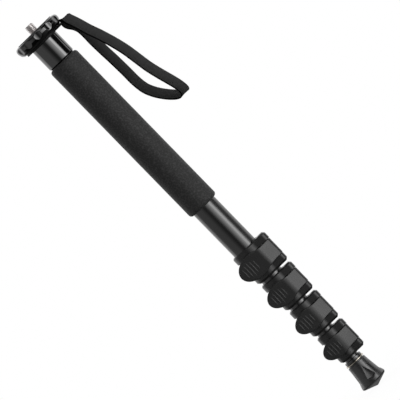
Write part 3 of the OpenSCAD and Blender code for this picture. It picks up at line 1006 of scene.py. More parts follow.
@dataclass
class WristStrap:
    """The webbing loop through the eye, with sizes in millimetres."""

    palette: Palette
    anchor: Triple = (30.0, -3.2, -13.2)
    width: float = STRAP_WIDTH
    thickness: float = 1.2
    substeps: int = 12
    columns: int = 12
    edge_steps: int = 4
    pick_pitch: float = WEFT_PITCH
    pick_rise: float = 0.1
    pick_sink: float = 0.2
    pick_faces: int = 8
    pick_less: float = 2.6
    pick_side: float = 0.6
    fold_from: float = 0.2
    fold_to: float = 2.2
    fold_less: float = 1.5
    route: tuple[Triple, ...] = (
        (2.4, 0, 2.2), (2.6, -1.6, 1.5), (2.9, -2.2, 0), (3.5, -2.6, -2.4),
        (5, -3.2, -6.3), (7.4, -4.4, -13.3), (10.4, -6.2, -23.3), (14.8, -8.4, -35.3),
        (19.2, -10, -49.3), (22.7, -10.8, -63.3), (25, -11, -77.3), (27.2, -10.8, -90.8),
        (30.3, -10.2, -103.3), (33.7, -9, -115.3), (36, -7, -124.3), (36.9, -3.8, -130.8),
        (36.3, 0.2, -134.3), (34.3, 4.4, -135.2), (31, 8.2, -133.6), (27, 11.2, -130.2),
        (22.2, 13.4, -125.2), (16.9, 14.8, -118.3), (12.8, 15.4, -111.3), (9.9, 15.6, -103.8),
        (8.4, 15.4, -92.8), (8.2, 14.8, -78.8), (7.7, 13.8, -63.3), (6.9, 12.2, -48.3),
        (6.4, 10, -34.8), (6.5, 7.8, -23.8), (5.7, 6, -15.8), (3.2, 4.4, -9.8),
        (0.1, 3.2, -5.4), (-0.7, 2.5, -2.4), (0.3, 2.2, 0), (1.4, 1.6, 1.5))

    def build(self) -> None:
        self.centres = self.curve()
        forward = np.roll(self.centres, -1, axis=0) - np.roll(self.centres, 1, axis=0)
        self.along = forward / np.linalg.norm(forward, axis=1)[:, None]
        across = np.array([1.0, 0.0, 0.0]) - self.along[:, :1] * self.along
        self.across = across / np.linalg.norm(across, axis=1)[:, None]
        self.out = np.cross(self.along, self.across)
        steps = np.linalg.norm(np.roll(self.centres, -1, axis=0) - self.centres, axis=1)
        self.place = np.concatenate([[0.0], np.cumsum(steps)])
        rise = (self.centres[:, 2] - self.anchor[2] - self.fold_from) / (self.fold_to - self.fold_from)
        self.fold = np.clip(rise, 0.0, 1.0) ** 2
        strap = put(self.ribbon(), self.palette.webbing, "wrist_strap")
        picks = put(self.picks(), self.palette.webbing, "wrist_strap", False)
        LOG.info("strap: %.1f mm round", self.place[-1])

    def curve(self) -> Array:
        """Points of the closed curve through the route."""
        knots = np.array(self.route)
        points = []
        for place in range(len(knots)):
            before, start, end, after = (knots[(place + n) % len(knots)] for n in (-1, 0, 1, 2))
            square = 2 * before - 5 * start + 4 * end - after
            cube = 3 * start - before - 3 * end + after
            for share in np.arange(self.substeps) / self.substeps:
                points.append(0.5 * (2 * start + (end - before) * share + square * share ** 2
                                     + cube * share ** 3))
        return np.array(points) + np.array(self.anchor)

    def section(self) -> Array:
        """Cross-section of the ribbon: place across it and height from its middle."""
        half_t = self.thickness / 2
        flat = self.width / 2 - half_t
        top = [(place, half_t) for place in np.linspace(-flat, flat, self.columns)]
        turns = np.linspace(math.pi / 2, -math.pi / 2, self.edge_steps + 2)[1:-1]
        right = [(flat + half_t * math.cos(turn), half_t * math.sin(turn)) for turn in turns]
        whole = top + right
        return np.array(whole + [(-place, -height) for place, height in whole])

    def ribbon(self) -> Mesh:
        """The flat webbing, with its weave coordinates on its corners."""
        section = self.section()
        right = np.clip(section[:, :1] / (self.width / 2), 0.0, 1.0)
        rings = [centre + (section[:, :1] - fold * self.fold_less * right) * across + section[:, 1:] * out
                 for centre, across, out, fold in zip(self.centres, self.across, self.out, self.fold)]
        mesh = closed_mesh("wrist_webbing", rings, loop=True)
        columns = len(section)
        rows = len(rings)
        vertex = np.zeros(len(mesh.loops), int)
        mesh.loops.foreach_get("vertex_index", vertex)
        ring, column = np.divmod(vertex, columns)
        wraps = np.zeros(len(mesh.loops), bool)
        for face in mesh.polygons:
            used = ring[list(face.loop_indices)]
            wraps[list(face.loop_indices)] = used.max() - used.min() > 1
        along = np.where(wraps & (ring == 0), self.place[rows], self.place[ring])
        mesh.attributes.new("along", "FLOAT", "CORNER").data.foreach_set("value", along)
        mesh.attributes.new("across", "FLOAT", "CORNER").data.foreach_set("value", section[column, 0])
        return mesh

    def picks(self) -> Mesh:
        """The weft picks on both faces, as instances of one rounded bar."""
        count = int(self.place[-1] / self.pick_pitch)
        wanted = np.arange(count) * self.place[-1] / count
        nearest = np.searchsorted(self.place, wanted, side="right") - 1
        rows = [(row, side) for row in nearest if self.fold[row] == 0.0 for side in (1, -1)]
        spots = [self.centres[row] + side * (self.thickness / 2 - self.pick_sink) * self.out[row]
                 + self.pick_side * self.across[row] for row, side in rows]
        mesh = bpy.data.meshes.new("pick_spots")
        mesh.from_pydata((np.array(spots) * MM).tolist(), [], [])
        for name, ways in (("pick_across", self.across), ("pick_along", self.along)):
            data = np.array([ways[row] for row, _ in rows]).ravel()
            mesh.attributes.new(name, "FLOAT_VECTOR", "POINT").data.foreach_set("vector", data)
        recipe = Recipe("webbing_picks")
        radius, depth = recipe.numbers("Radius", "Length")
        material = recipe.take("Material", "NodeSocketMaterial")
        bar = recipe.add("GeometryNodeMeshCylinder", inputs={
            "Vertices": self.pick_faces, "Radius": radius, "Depth": depth}, output="Mesh")
        across, along = (
            recipe.add("GeometryNodeInputNamedAttribute", {"data_type": "FLOAT_VECTOR"}, {"Name": name})
            for name in ("pick_across", "pick_along"))
        turn = recipe.add("FunctionNodeAxesToRotation", {"primary_axis": "Z", "secondary_axis": "X"},
                          {"Primary Axis": across, "Secondary Axis": along})
        bars = recipe.add("GeometryNodeInstanceOnPoints", inputs={
            "Points": recipe.points, "Instance": bar, "Rotation": turn})
        recipe.finish(bars, material)
        return recipe.run(mesh, "webbing_weft", {
            "Radius": (self.pick_rise + self.pick_sink) * MM, "Length": (self.width - self.pick_less) * MM,
            "Material": self.palette.webbing})


@dataclass
class Grip:
    """The foam sleeve, with sizes in millimetres."""

    palette: Palette
    bore: float = GLUED_BORE
    rounding: float = 3.4
    round_steps: int = 8
    top_less: float = 0.6
    columns: int = 256
    row: float = 0.8
    row_past_bore: float = 1.0
    skin_past_bore: float = 0.5
    swell: float = 0.05
    swell_scale: float = 0.05
    pore: float = 0.05
    pore_scale: float = 0.9

    def build(self) -> None:
        low, high = reach("foam_grip")
        top = high[2] - self.top_less
        section = filleted([(self.bore, low[2], 0.0), (high[0], low[2], self.rounding),
                            (high[0], top, self.rounding), (self.bore, top, 0.0)], self.round_steps)
        section = refined(section + section[:1], self.row, self.bore + self.row_past_bore)[:-1]
        angles = round_angles(self.columns)
        rings = []
        for r, z, _ in section:
            ring = circle_ring(r, z, angles)
            if r > self.bore + self.skin_past_bore:
                ring = circle_ring(r - self._sink(ring), z, angles)
            rings.append(ring)
        mesh = closed_mesh("foam_sleeve", rings, loop=True)
        piece = put(mesh, self.palette.foam, "foam_grip")

    def _sink(self, ring: Array) -> Array:
        """How far each point of the skin lies under the full size."""
        wide, fine = (np.array([noise.noise(Vector(point) * scale) for point in ring])
                      for scale in (self.swell_scale, self.pore_scale))
        return self.swell * (1 + wide) + self.pore * (1 + fine) / 2


@dataclass
class Tubes:
    """The five nested tubes, with sizes in millimetres."""

    palette: Palette
    wall: float = 1.0
    edge: float = 0.3
    edge_steps: int = 3
    columns: int = 160
    names: tuple[str, ...] = ("upper_tube", "tube_2", "tube_3", "tube_4", "tube_5")

    def build(self) -> None:
        """Builds each tube and dresses its bush."""
        for name in self.names:
            bore = reach(name)[1][0] - self.wall
            mesh = sleeve(f"{name}_drawn", name, bore, self.edge, self.edge_steps, self.columns)
            put(mesh, self.palette.tube, name)
        for name in self.names[1:]:
            keep(f"{name}_bush", self.palette.moulded)


def hull_reach(posts: Sequence[Triple], angles: Array) -> Array:
    """How far the hull round upright posts reaches from the axis at each angle.

    Args:
        posts: x, y and radius of each post.
        angles: angles of the rays from the axis.

    Returns:
        The distance to the far side of the hull, or 0 where a ray misses it.
    """
    ways = round_angles(HULL_WAYS)
    normals = np.stack([np.cos(ways), np.sin(ways)], axis=1)
    support = np.max([normals @ np.array([x, y]) + r for x, y, r in posts], axis=0)
    rays = np.stack([np.cos(angles), np.sin(angles)])
    speed = normals @ rays
    far = np.where(speed > TINY, support[:, None] / np.maximum(speed, TINY), FAR).min(axis=0)
    near = np.where(speed < -TINY, support[:, None] / np.minimum(speed, -TINY), -FAR).max(axis=0)
    return np.where((far > near) & (far > 0), far, 0.0)


@dataclass
class FlipLock:
    """One flip lock: collar, cam lever, pin, shoe and guide, with sizes in millimetres."""

    palette: Palette
    number: int
    tube_r: float
    tube_step: float = 1.5
    upper_band: float = 8.3
    top_longer: float = 0.7
    lower_band: float = 8.3
    collar_wall: float = 3.1
    clamp_wall: float = 3.5
    middle_wall: float = 1.6
    chamfer: float = 2.3
    front_chamfer: float = 1.3
    corner_soft: float = 0.35
    end_inset: float = 0.28
    low_inset: float = 0.38
    low_soft: float = 0.25
    high_inset: float = 1.0
    high_soft: float = 0.35
    band_steps: int = 3
    band_guard: float = 0.1
    ear_reach: float = 11.1
    ear_corner: float = 5.4
    ear_taper: float = 0.9
    ear_front: float = 1.2
    ear_back: float = 2.0
    ear_soft: float = 1.0
    post_r: float = 2.4
    post_least: float = 0.05
    root_share: float = 0.25
    glue: float = 0.03
    bore_fit: float = 0.3
    bore_chamfer: float = 0.4
    pin_r: float = 1.5
    pin_soft: float = 0.3
    pin_steps: int = 3
    pin_columns: int = 48
    hole_past: float = 1.0
    hole_fit: float = 0.05
    cam_r: float = 4.9
    cam_offset: float = 0.45
    barrel_from: float = math.radians(232.0)
    barrel_steps: int = 64
    boss_in: float = 1.2
    boss_fit: float = 0.06
    boss_slant: float = 0.1
    lever_t: float = 3.0
    lever_front: float = 3.3
    lever_slope: float = math.radians(25.0)
    lever_gap: float = 0.5
    arm_span: Pair = (0.1, 0.95)
    arm_steps: int = 12
    arm_thins: float = 3.0
    arm_soft: float = 0.3
    bend_r: float = 11.0
    bend_more: float = 3.0
    bend_steps: int = 12
    front_soft: float = 1.0
    front_most: float = 0.45
    back_soft: float = 0.6
    back_most: float = 0.4
    back_wear: float = 0.4
    edge_steps: int = 6
    face_steps: int = 14
    tab_reach: float = 9.9
    tab_w: float = 26.0
    tab_less: float = 1.5
    tab_widest: float = 18.5
    tab_steps: int = 72
    rib_count: int = 5
    rib_pitch: float = 3.5
    rib_start: float = 6.3
    rib_length: float = 18.4
    rib_shorter: float = 3.7
    rib_width: float = 1.8
    rib_rise: float = 0.45
    bead_segments: int = 20
    bead_rings: int = 24
    shoe_width: float = 10.0
    shoe_soft: float = 0.25
    window_past: float = 0.5
    window_play: float = 0.1
    columns: int = 320
    fine_columns: int = 2880

    def __post_init__(self) -> None:
        """Finds the lock's heights and the place of its pin."""
        low, high = reach(f"lock_{self.number}_collar")
        self.bottom, self.top = low[2], high[2] + self.top_longer
        self.zone_bottom = self.bottom + self.lower_band
        self.zone_top = self.top - self.upper_band
        self.middle = (self.zone_bottom + self.zone_top) / 2
        self.inner_r = self.tube_r - self.tube_step
        self.pin = np.array([self.tube_r + self.ear_reach - self.ear_corner,
                             self.ear_corner - self.tube_r - self.ear_front])
        self.front = -(self.tube_r + self.collar_wall + self.lever_front)
        self.tip = -(self.tube_r + self.tab_reach)
        self.tab_half = (self.tab_w - self.tab_less * (self.number - 1)) / 2
        self.hinge_half = (self.zone_top - self.zone_bottom) / 2 - self.lever_gap
        self.lever_hole = self.pin_r + self.hole_fit

    def node(self, kind: str) -> str:
        """Name of one of the lock's CAD nodes or pieces."""
        return f"lock_{self.number}_{kind}"

    def build(self) -> None:
        """Builds and dresses every piece of the lock."""
        put(self.collar(), self.palette.moulded, self.node("collar"))
        put(self.lever(), self.palette.moulded, self.node("lever"))
        put(self.ribs(), self.palette.ribs, self.node("lever"), False)
        put(self.pin_piece(), self.palette.steel, self.node("pin"))
        shoe = softened(self.node("shoe"), self.node("brake_pad"), self.shoe_soft)
        put(shoe, self.palette.pad, self.node("shoe"))
        keep(self.node("guide"), self.palette.moulded)

    def outline(self, radius: float, corner: float, angles: Array, away: float = 0.0) -> Array:
        """Outline of one band with its ear, moved inward by a distance, at the given angles."""
        root = self.tube_r * self.root_share
        back = self.ear_back - self.post_r
        posts = [(self.pin[0], self.pin[1], corner),
                 (self.pin[0] + corner - self.post_r, back, self.post_r),
                 (root, self.pin[1] - corner + self.post_r, self.post_r), (root, back, self.post_r)]
        moved = [(x, y, max(r - away, self.post_least)) for x, y, r in posts]
        out = smooth_max(np.full_like(angles, radius - away), hull_reach(moved, angles), self.ear_soft)
        return np.stack([out * np.cos(angles), out * np.sin(angles)], axis=1)

    def even_angles(self, radius: float, corner: float) -> Array:
        """Angles that are evenly spread along a band's outline."""
        angles = round_angles(self.fine_columns)
        points = self.outline(radius, corner, angles)
        steps = np.linalg.norm(np.roll(points, -1, axis=0) - points, axis=1)
        place = np.concatenate([[0.0], np.cumsum(steps)])
        wanted = np.linspace(0.0, place[-1], self.columns, endpoint=False)
        return np.interp(wanted, place, np.append(angles, FULL_TURN))

    def band_rows(self, top_chamfer: float) -> list[list[Triple]]:
        """Inset, height and wear along the outside of the lower and of the upper band."""
        soft, foot_chamfer = self.corner_soft, self.chamfer
        low = [(foot_chamfer + self.end_inset, self.bottom, 0.0), (foot_chamfer, self.bottom, soft),
               (0.0, self.bottom + foot_chamfer, soft), (0.0, self.zone_bottom, self.low_soft),
               (self.low_inset, self.zone_bottom, 0.0)]
        high = [(self.high_inset, self.zone_top, 0.0), (0.0, self.zone_top, self.high_soft),
                (0.0, self.top - top_chamfer, soft), (top_chamfer, self.top, soft),
                (top_chamfer + self.end_inset, self.top, 0.0)]
        return [filleted(band, self.band_steps, False, self.band_guard) for band in (low, high)]

    def collar(self) -> Mesh:
        """The moulded collar: lower band, sleeve and upper band as one shell.

        The rows of the front pass into those of the ear, which has the larger chamfer.
        """
        upper_r = self.tube_r + self.collar_wall
        lower_r = self.inner_r + self.clamp_wall
        angles = self.even_angles(upper_r, self.ear_corner)
        seat = reach(self.node("guide"))[0][2]
        low_rows, high_rows = (list(zip(*rows)) for rows in zip(self.band_rows(self.front_chamfer),
                                                                self.band_rows(self.chamfer)))
        rings, wear = [], []
        bands = ((lower_r, self.ear_corner - self.ear_taper, low_rows),
                 (upper_r, self.ear_corner, high_rows))
        for radius, corner, rows in bands:
            ear = smooth_step((self.outline(radius, corner, angles)[:, :1] - self.pin[0]) / corner)
            for row in rows:
                front, end = (np.column_stack([self.outline(radius, corner, angles, away),
                                               np.full(len(angles), z)]) for away, z, _ in row)
                rings.append(front + (end - front) * ear)
                wear.append(row[0][2])
            if rows is low_rows:
                middle_r = self.tube_r + self.middle_wall
                rings += [circle_ring(middle_r, z, angles) for z in (self.zone_bottom, self.zone_top)]
                wear += [0.0, 0.0]
        outer_bore, inner_bore = self.tube_r + self.glue, self.inner_r + self.bore_fit
        bores = [(outer_bore + self.bore_chamfer, self.top), (outer_bore, self.top - self.bore_chamfer),
                 (outer_bore, seat), (inner_bore, seat), (inner_bore, self.bottom + self.bore_chamfer),
                 (inner_bore + self.bore_chamfer, self.bottom)]
        rings += [circle_ring(r, z, angles) for r, z in bores]
        wear += [0.0] * len(bores)
        body = closed_mesh(self.node("clamp_body"), rings, np.array(wear), loop=True)
        return cut(body, [self.window(), self.pin_hole()])

    def pin_hole(self) -> Mesh:
        """The bar that cuts the hole of the pin."""
        radius, low, high = self.pin_r + self.glue, self.bottom - self.hole_past, self.top + self.hole_past
        section = [(0.0, low, 0.0), (radius, low, 0.0), (radius, high, 0.0), (0.0, high, 0.0)]
        return lathe("pin_hole", section, self.pin_columns, False, tuple(self.pin))

    def window(self) -> Mesh:
        """The block that cuts the window of the brake shoe."""
        low, high = reach(self.node("shoe"))
        way = unit(self.pin)
        side = np.array([-way[1], way[0]]) * (self.shoe_width / 2 + self.window_play)
        near = way * (self.inner_r / 2)
        far = way * (np.linalg.norm(self.pin) - self.cam_r + self.window_past)
        plan = [near - side, far - side, far + side, near + side]
        heights = (low[2] - self.window_play, high[2] + self.window_play)
        rings = [[(*point, z) for point in plan] for z in heights]
        return closed_mesh("shoe_window", np.array(rings), caps=True)

    def half_width(self, x: float) -> float:
        """Half the lever's width at a distance along it."""
        widest = self.tip + self.tab_widest
        narrow = self.pin[0] - self.cam_r - self.cam_offset
        if x <= widest:
            return self.tab_half * math.sqrt(max(0.0, 1 - ((widest - x) / self.tab_widest) ** 2))
        if x >= narrow:
            return self.hinge_half
        share = (1 - math.cos(math.pi * (x - widest) / (narrow - widest))) / 2
        return self.tab_half + (self.hinge_half - self.tab_half) * share

    def lever(self) -> Mesh:
        """The cam lever as stations from its barrel along its arm to the tip of its tab.

        A low boss on the barrel closes the gap beside the bands to the light.
        """
        rings, wear = [], []
        for place, station in enumerate(self.barrel() + self.arm()):
            boss = self.lever_gap - self.boss_fit if place < self.barrel_steps else 0.0
            ring, worn = self.lever_ring(*station, boss)
            rings.append(ring)
            wear.append(worn)
        return closed_mesh(self.node("cam_lever"), rings, np.array(wear), caps=True)

    def barrel(self) -> list[Station]:
        """Stations round the barrel, which swells into the cam towards the tube."""
        result = []
        inward = -unit(self.pin)
        for turn in np.linspace(self.barrel_from, self.lever_slope - math.pi / 2, self.barrel_steps):
            way = np.array([math.cos(turn), math.sin(turn)])
            lean = self.cam_offset * (way @ inward)
            shifted = lean + math.sqrt(self.cam_r ** 2 - self.cam_offset ** 2 + lean ** 2)
            radius = max(self.cam_r, shifted)
            result.append((self.pin + radius * way, way, radius - self.lever_hole, self.hinge_half,
                           self.arm_soft))
        return result

    def arm(self) -> list[Station]:
        """Stations along the arm, round the bend and along the tab to its tip."""
        result = []
        slope = self.lever_slope
        arm_out = np.array([math.sin(slope), -math.cos(slope)])
        arm_along = np.array([-math.cos(slope), -math.sin(slope)])
        start = self.pin + self.cam_r * arm_out
        corner = start + (start[1] - self.front) / math.sin(slope) * arm_along
        bend_r = self.bend_r + self.bend_more * (self.number - 1)
        bend_at = corner + np.array([-bend_r * math.tan(slope / 2), bend_r])
        arm_end = bend_at + bend_r * arm_out
        thicker = self.cam_r - self.lever_hole - self.lever_t
        for share in np.linspace(*self.arm_span, self.arm_steps):
            point = start + share * (arm_end - start)
            thick = self.lever_t + thicker * max(0.0, 1 - share * self.arm_thins)
            result.append((point, arm_out, thick, self.half_width(point[0]), self.arm_soft))
        for share in np.linspace(0.0, 1.0, self.bend_steps):
            turn = slope * (1 - share)
            way = np.array([math.sin(turn), -math.cos(turn)])
            point = bend_at + bend_r * way
            soft = self.arm_soft + (self.front_soft - self.arm_soft) * share
            result.append((point, way, self.lever_t, self.half_width(point[0]), soft))
        flat = np.array([0.0, -1.0])
        length = bend_at[0] - self.tip
        for share in np.linspace(0.0, 1.0, self.tab_steps)[1:]:
            x = self.tip + length * (1 - math.sin(math.pi / 2 * share))
            point = np.array([x, self.front])
            result.append((point, flat, self.lever_t, self.half_width(x), self.front_soft))
        return result

    def lever_ring(self, point: Array, normal: Array, thick: float, half: float, soft: float,
                   boss: float) -> tuple[Array, Array]:
        """Rounded cross-section of the lever at one station.

        Args:
            point: the outer point of the station.
            normal: its outward way.
            thick: thickness of the lever there.
            half: half its width.
            soft: rounding of its outer edges.
            boss: height of the boss on each side.

        Returns:
            The points of the ring and their wear.
        """
        front = min(soft, self.front_most * thick)
        back = min(self.back_soft, self.back_most * thick)
        from_tip = point[0] - self.tip
        sink_front = self._sink(from_tip, front)
        sink_back = self._sink(from_tip, back)
        back_d = thick - sink_back
        half_depth = (back_d - sink_front) / 2
        front_z, front_h = min(front, half), min(front, half_depth)
        back_z, back_h = min(back, half), min(back, half_depth)
        turns = np.linspace(0.0, math.pi / 2, self.edge_steps)
        spread = np.linspace(-1.0, 1.0, self.face_steps)
        outer = half + boss
        edge = [(half - front_z + front_z * math.sin(turn), sink_front + front_h * (1 - math.cos(turn)), 1.0)
                for turn in turns[1:]]
        step_d = min(max(self.boss_in, edge[-1][1]), back_d - back_h)
        edge += [(half, step_d, 0.0), (outer, min(step_d + self.boss_slant, back_d - back_h), 0.0)]
        edge += [(outer - back_z + back_z * math.cos(turn), back_d - back_h * (1 - math.sin(turn)),
                  self.back_wear) for turn in turns[:-1]]
        loop = [(share * (half - front_z), sink_front, 0.0) for share in spread]
        loop += edge
        loop += [(-share * (outer - back_z), back_d, 0.0) for share in spread]
        loop += [(-z, depth, worn) for z, depth, worn in reversed(edge)]
        ring = [(*(point - depth * normal), self.middle + z) for z, depth, _ in loop]
        return np.array(ring), np.array([worn for _, _, worn in loop])

    @staticmethod
    def _sink(from_tip: float, rounding: float) -> float:
        """How far a face lies back close to the rounded tip."""
        if from_tip >= rounding:
            return 0.0
        return rounding - math.sqrt(max(0.0, rounding ** 2 - (rounding - from_tip) ** 2))

    def ribs(self) -> Mesh:
        """The thumb ribs, as instances of one long bead."""
        recipe = Recipe("thumb_ribs")
        count = recipe.take("Count", "NodeSocketInt")
        pitch, length, shorter, width, depth = recipe.numbers("Pitch", "Length", "Shorter", "Width", "Depth")
        start = recipe.take("Start", "NodeSocketVector")
        material = recipe.take("Material", "NodeSocketMaterial")
        row = recipe.add("GeometryNodeMeshLine", {"mode": "OFFSET"}, {
            "Count": count, "Start Location": start, "Offset": recipe.vector(pitch, 0.0, 0.0)})
        index = recipe.add("GeometryNodeInputIndex")
        long = length - shorter * (index - (count - 1.0) * 0.5).absolute()
        bead = recipe.add("GeometryNodeMeshUVSphere", inputs={
            "Segments": self.bead_segments, "Rings": self.bead_rings, "Radius": 0.5})
        beads = recipe.add("GeometryNodeInstanceOnPoints", inputs={
            "Points": row, "Instance": bead, "Scale": recipe.vector(width, depth, long)})
        recipe.finish(beads, material)
        scale = self.tab_half / (self.tab_w / 2) * MM
        seed = bpy.data.meshes.new("rib_seed")
        return recipe.run(seed, self.node("thumb_ribs"), {
            "Count": self.rib_count, "Pitch": self.rib_pitch * MM, "Length": self.rib_length * scale,
            "Shorter": self.rib_shorter * scale, "Width": self.rib_width * MM,
            "Depth": 2 * self.rib_rise * MM, "Material": self.palette.ribs,
            "Start": ((self.tip + self.rib_start) * MM, self.front * MM, self.middle * MM)})

    def pin_piece(self) -> Mesh:
        """The steel hinge pin."""
        low, high = reach(self.node("pin"))
        section = filleted([(0.0, low[2], 0.0), (self.pin_r, low[2], self.pin_soft),
                            (self.pin_r, high[2], self.pin_soft), (0.0, high[2], 0.0)],
                           self.pin_steps, closed=False)
        return lathe(self.node("hinge_pin"), section, self.pin_columns, False, tuple(self.pin))


@dataclass
class Foot:
    """Ferrule, washer and rubber foot, with sizes in millimetres."""

    palette: Palette
    ring_bore: float = 3.2
    ring_steps: int = 4
    ferrule_soft: float = 0.8
    washer_soft: float = 0.25
    washer_less: float = 0.4
    groove_r: float = 9.2
    groove_h: float = 1.1
    top_r: float = 10.8
    top_flat: float = 0.3
    top_drop: float = 0.15
    flare_r: float = 100.0
    flare_h: float = 24.5
    flare_steps: int = 40
    rim_soft: float = 2.3
    rim_steps: int = 12
    cone_h: float = 4.7
    point_r: float = 3.0
    point_steps: int = 10
    hollows: int = 4
    hollow_turn: float = math.radians(-84.0)
    hollow_start: float = 4.5
    hollow_l: float = 15.0
    hollow_w: float = 11.0
    hollow_least: float = 0.001
    bowl_share: float = 0.28
    end_bulge: float = 2.2
    end_wall: float = 1.9
    lip_w: float = 0.5
    columns: int = 480
    row: float = 0.25
    row_from_r: float = 4.0

    def build(self) -> None:
        """Builds and dresses every piece of the foot."""
        ferrule = sleeve("ferrule_ring", "foot_ferrule", self.ring_bore, self.ferrule_soft, self.ring_steps)
        put(ferrule, self.palette.tube, "foot_ferrule")
        washer = sleeve("washer_ring", "foot_washer", self.ring_bore, self.washer_soft, self.ring_steps,
                        less=self.washer_less)
        put(washer, self.palette.washer, "foot_washer")
        put(self.rubber(), self.palette.rubber, "rubber_foot")
        keep("foot_plug", self.palette.moulded)
        keep("foot_screw", self.palette.steel)

    def section(self) -> list[Triple]:
        """The foot's outline from the middle of its top to the tip of its cone."""
        low, high = reach("rubber_foot")
        top = np.array([self.top_r, high[2] - self.groove_h])
        rim = np.array([high[0], top[1] - self.flare_h])
        rim_at = rim - np.array([self.rim_soft, 0.0])
        chord = rim - top
        half_turn = math.asin(np.linalg.norm(chord) / 2 / self.flare_r)
        outward = unit(np.array([-chord[1], chord[0]]))
        flare_at = (top + rim) / 2 + self.flare_r * math.cos(half_turn) * outward
        points = [(0.0, high[2], 0.0), (self.groove_r, high[2], 0.0), (self.groove_r, top[1], 0.0),
                  (self.top_r - self.top_flat, top[1], 0.0)]
        for step in range(self.flare_steps + 1):
            turn = half_turn * (2 * step / self.flare_steps - 1)
            r, z = flare_at + self.flare_r * (math.sin(turn) * unit(chord) - math.cos(turn) * outward)
            points.append((r, z, 0.0) if step else (r, z - self.top_drop, 1.0))
        point_z = rim_at[1] - self.rim_soft - self.cone_h + self.point_r
        steep = math.pi / 2 - math.atan2(self.cone_h, rim_at[0])
        for turn in np.linspace(0.0, steep, self.rim_steps)[1:]:
            points.append((rim_at[0] + self.rim_soft * math.cos(turn),
                           rim_at[1] - self.rim_soft * math.sin(turn), 1.0))
        for turn in np.linspace(steep, math.pi / 2, self.point_steps):
            points.append((self.point_r * math.cos(turn), point_z - self.point_r * math.sin(turn), 0.0))
        points[-1] = (0.0, low[2], 0.0)
        return refined(points, self.row, self.row_from_r)

    def hollow(self, across: Array, below: float) -> tuple[Array, Array]:
        """Depth of a hollow and its paler lip, which is wear and a painted highlight.

        Args:
            across: distance of each point from the hollow's middle.
            below: distance below the hollow's upper point.

        Returns:
            The depth and the wear at each point.
        """
        half = max(self.hollow_least, self.hollow_w / 2 * below / self.hollow_l)
        bowl = np.clip(1 - (across / half) ** 2, 0.0, 1.0)
        end = self.hollow_l + self.end_bulge * (1 - (across / (self.hollow_w / 2)) ** 2)
        wall = smooth_step((end - below) / self.end_wall)
        # paler lip round the hollow: wear, and a painted highlight on the lip
        lip = np.minimum(np.abs(np.abs(across) - half), np.abs(end - below))
        worn = np.clip(1 - lip / self.lip_w, 0.0, 1.0) * (np.abs(across) < half + self.lip_w)
        return self.bowl_share * half * bowl * wall, worn * (below < self.hollow_l + self.end_bulge)

    def rubber(self) -> Mesh:
        """The flared rubber foot with the hollows in its side."""
        angles = round_angles(self.columns)
        step = FULL_TURN / self.hollows
        turn = np.mod(angles - self.hollow_turn + step / 2, step) - step / 2
        top = reach("rubber_foot")[1][2] - self.groove_h
        rings, wear = [], []
        for r, z, worn in self.section():
            ring = np.full_like(angles, r)
            edge = np.zeros_like(angles)
            below = top - self.hollow_start - z
            if 0.0 < below < self.hollow_l + self.end_bulge:
                depth, edge = self.hollow(r * np.sin(turn), below)
                ring = r - depth
            rings.append(circle_ring(ring, z, angles))
            wear.append(np.maximum(edge, worn))
        return closed_mesh("flared_foot", rings, np.array(wear))


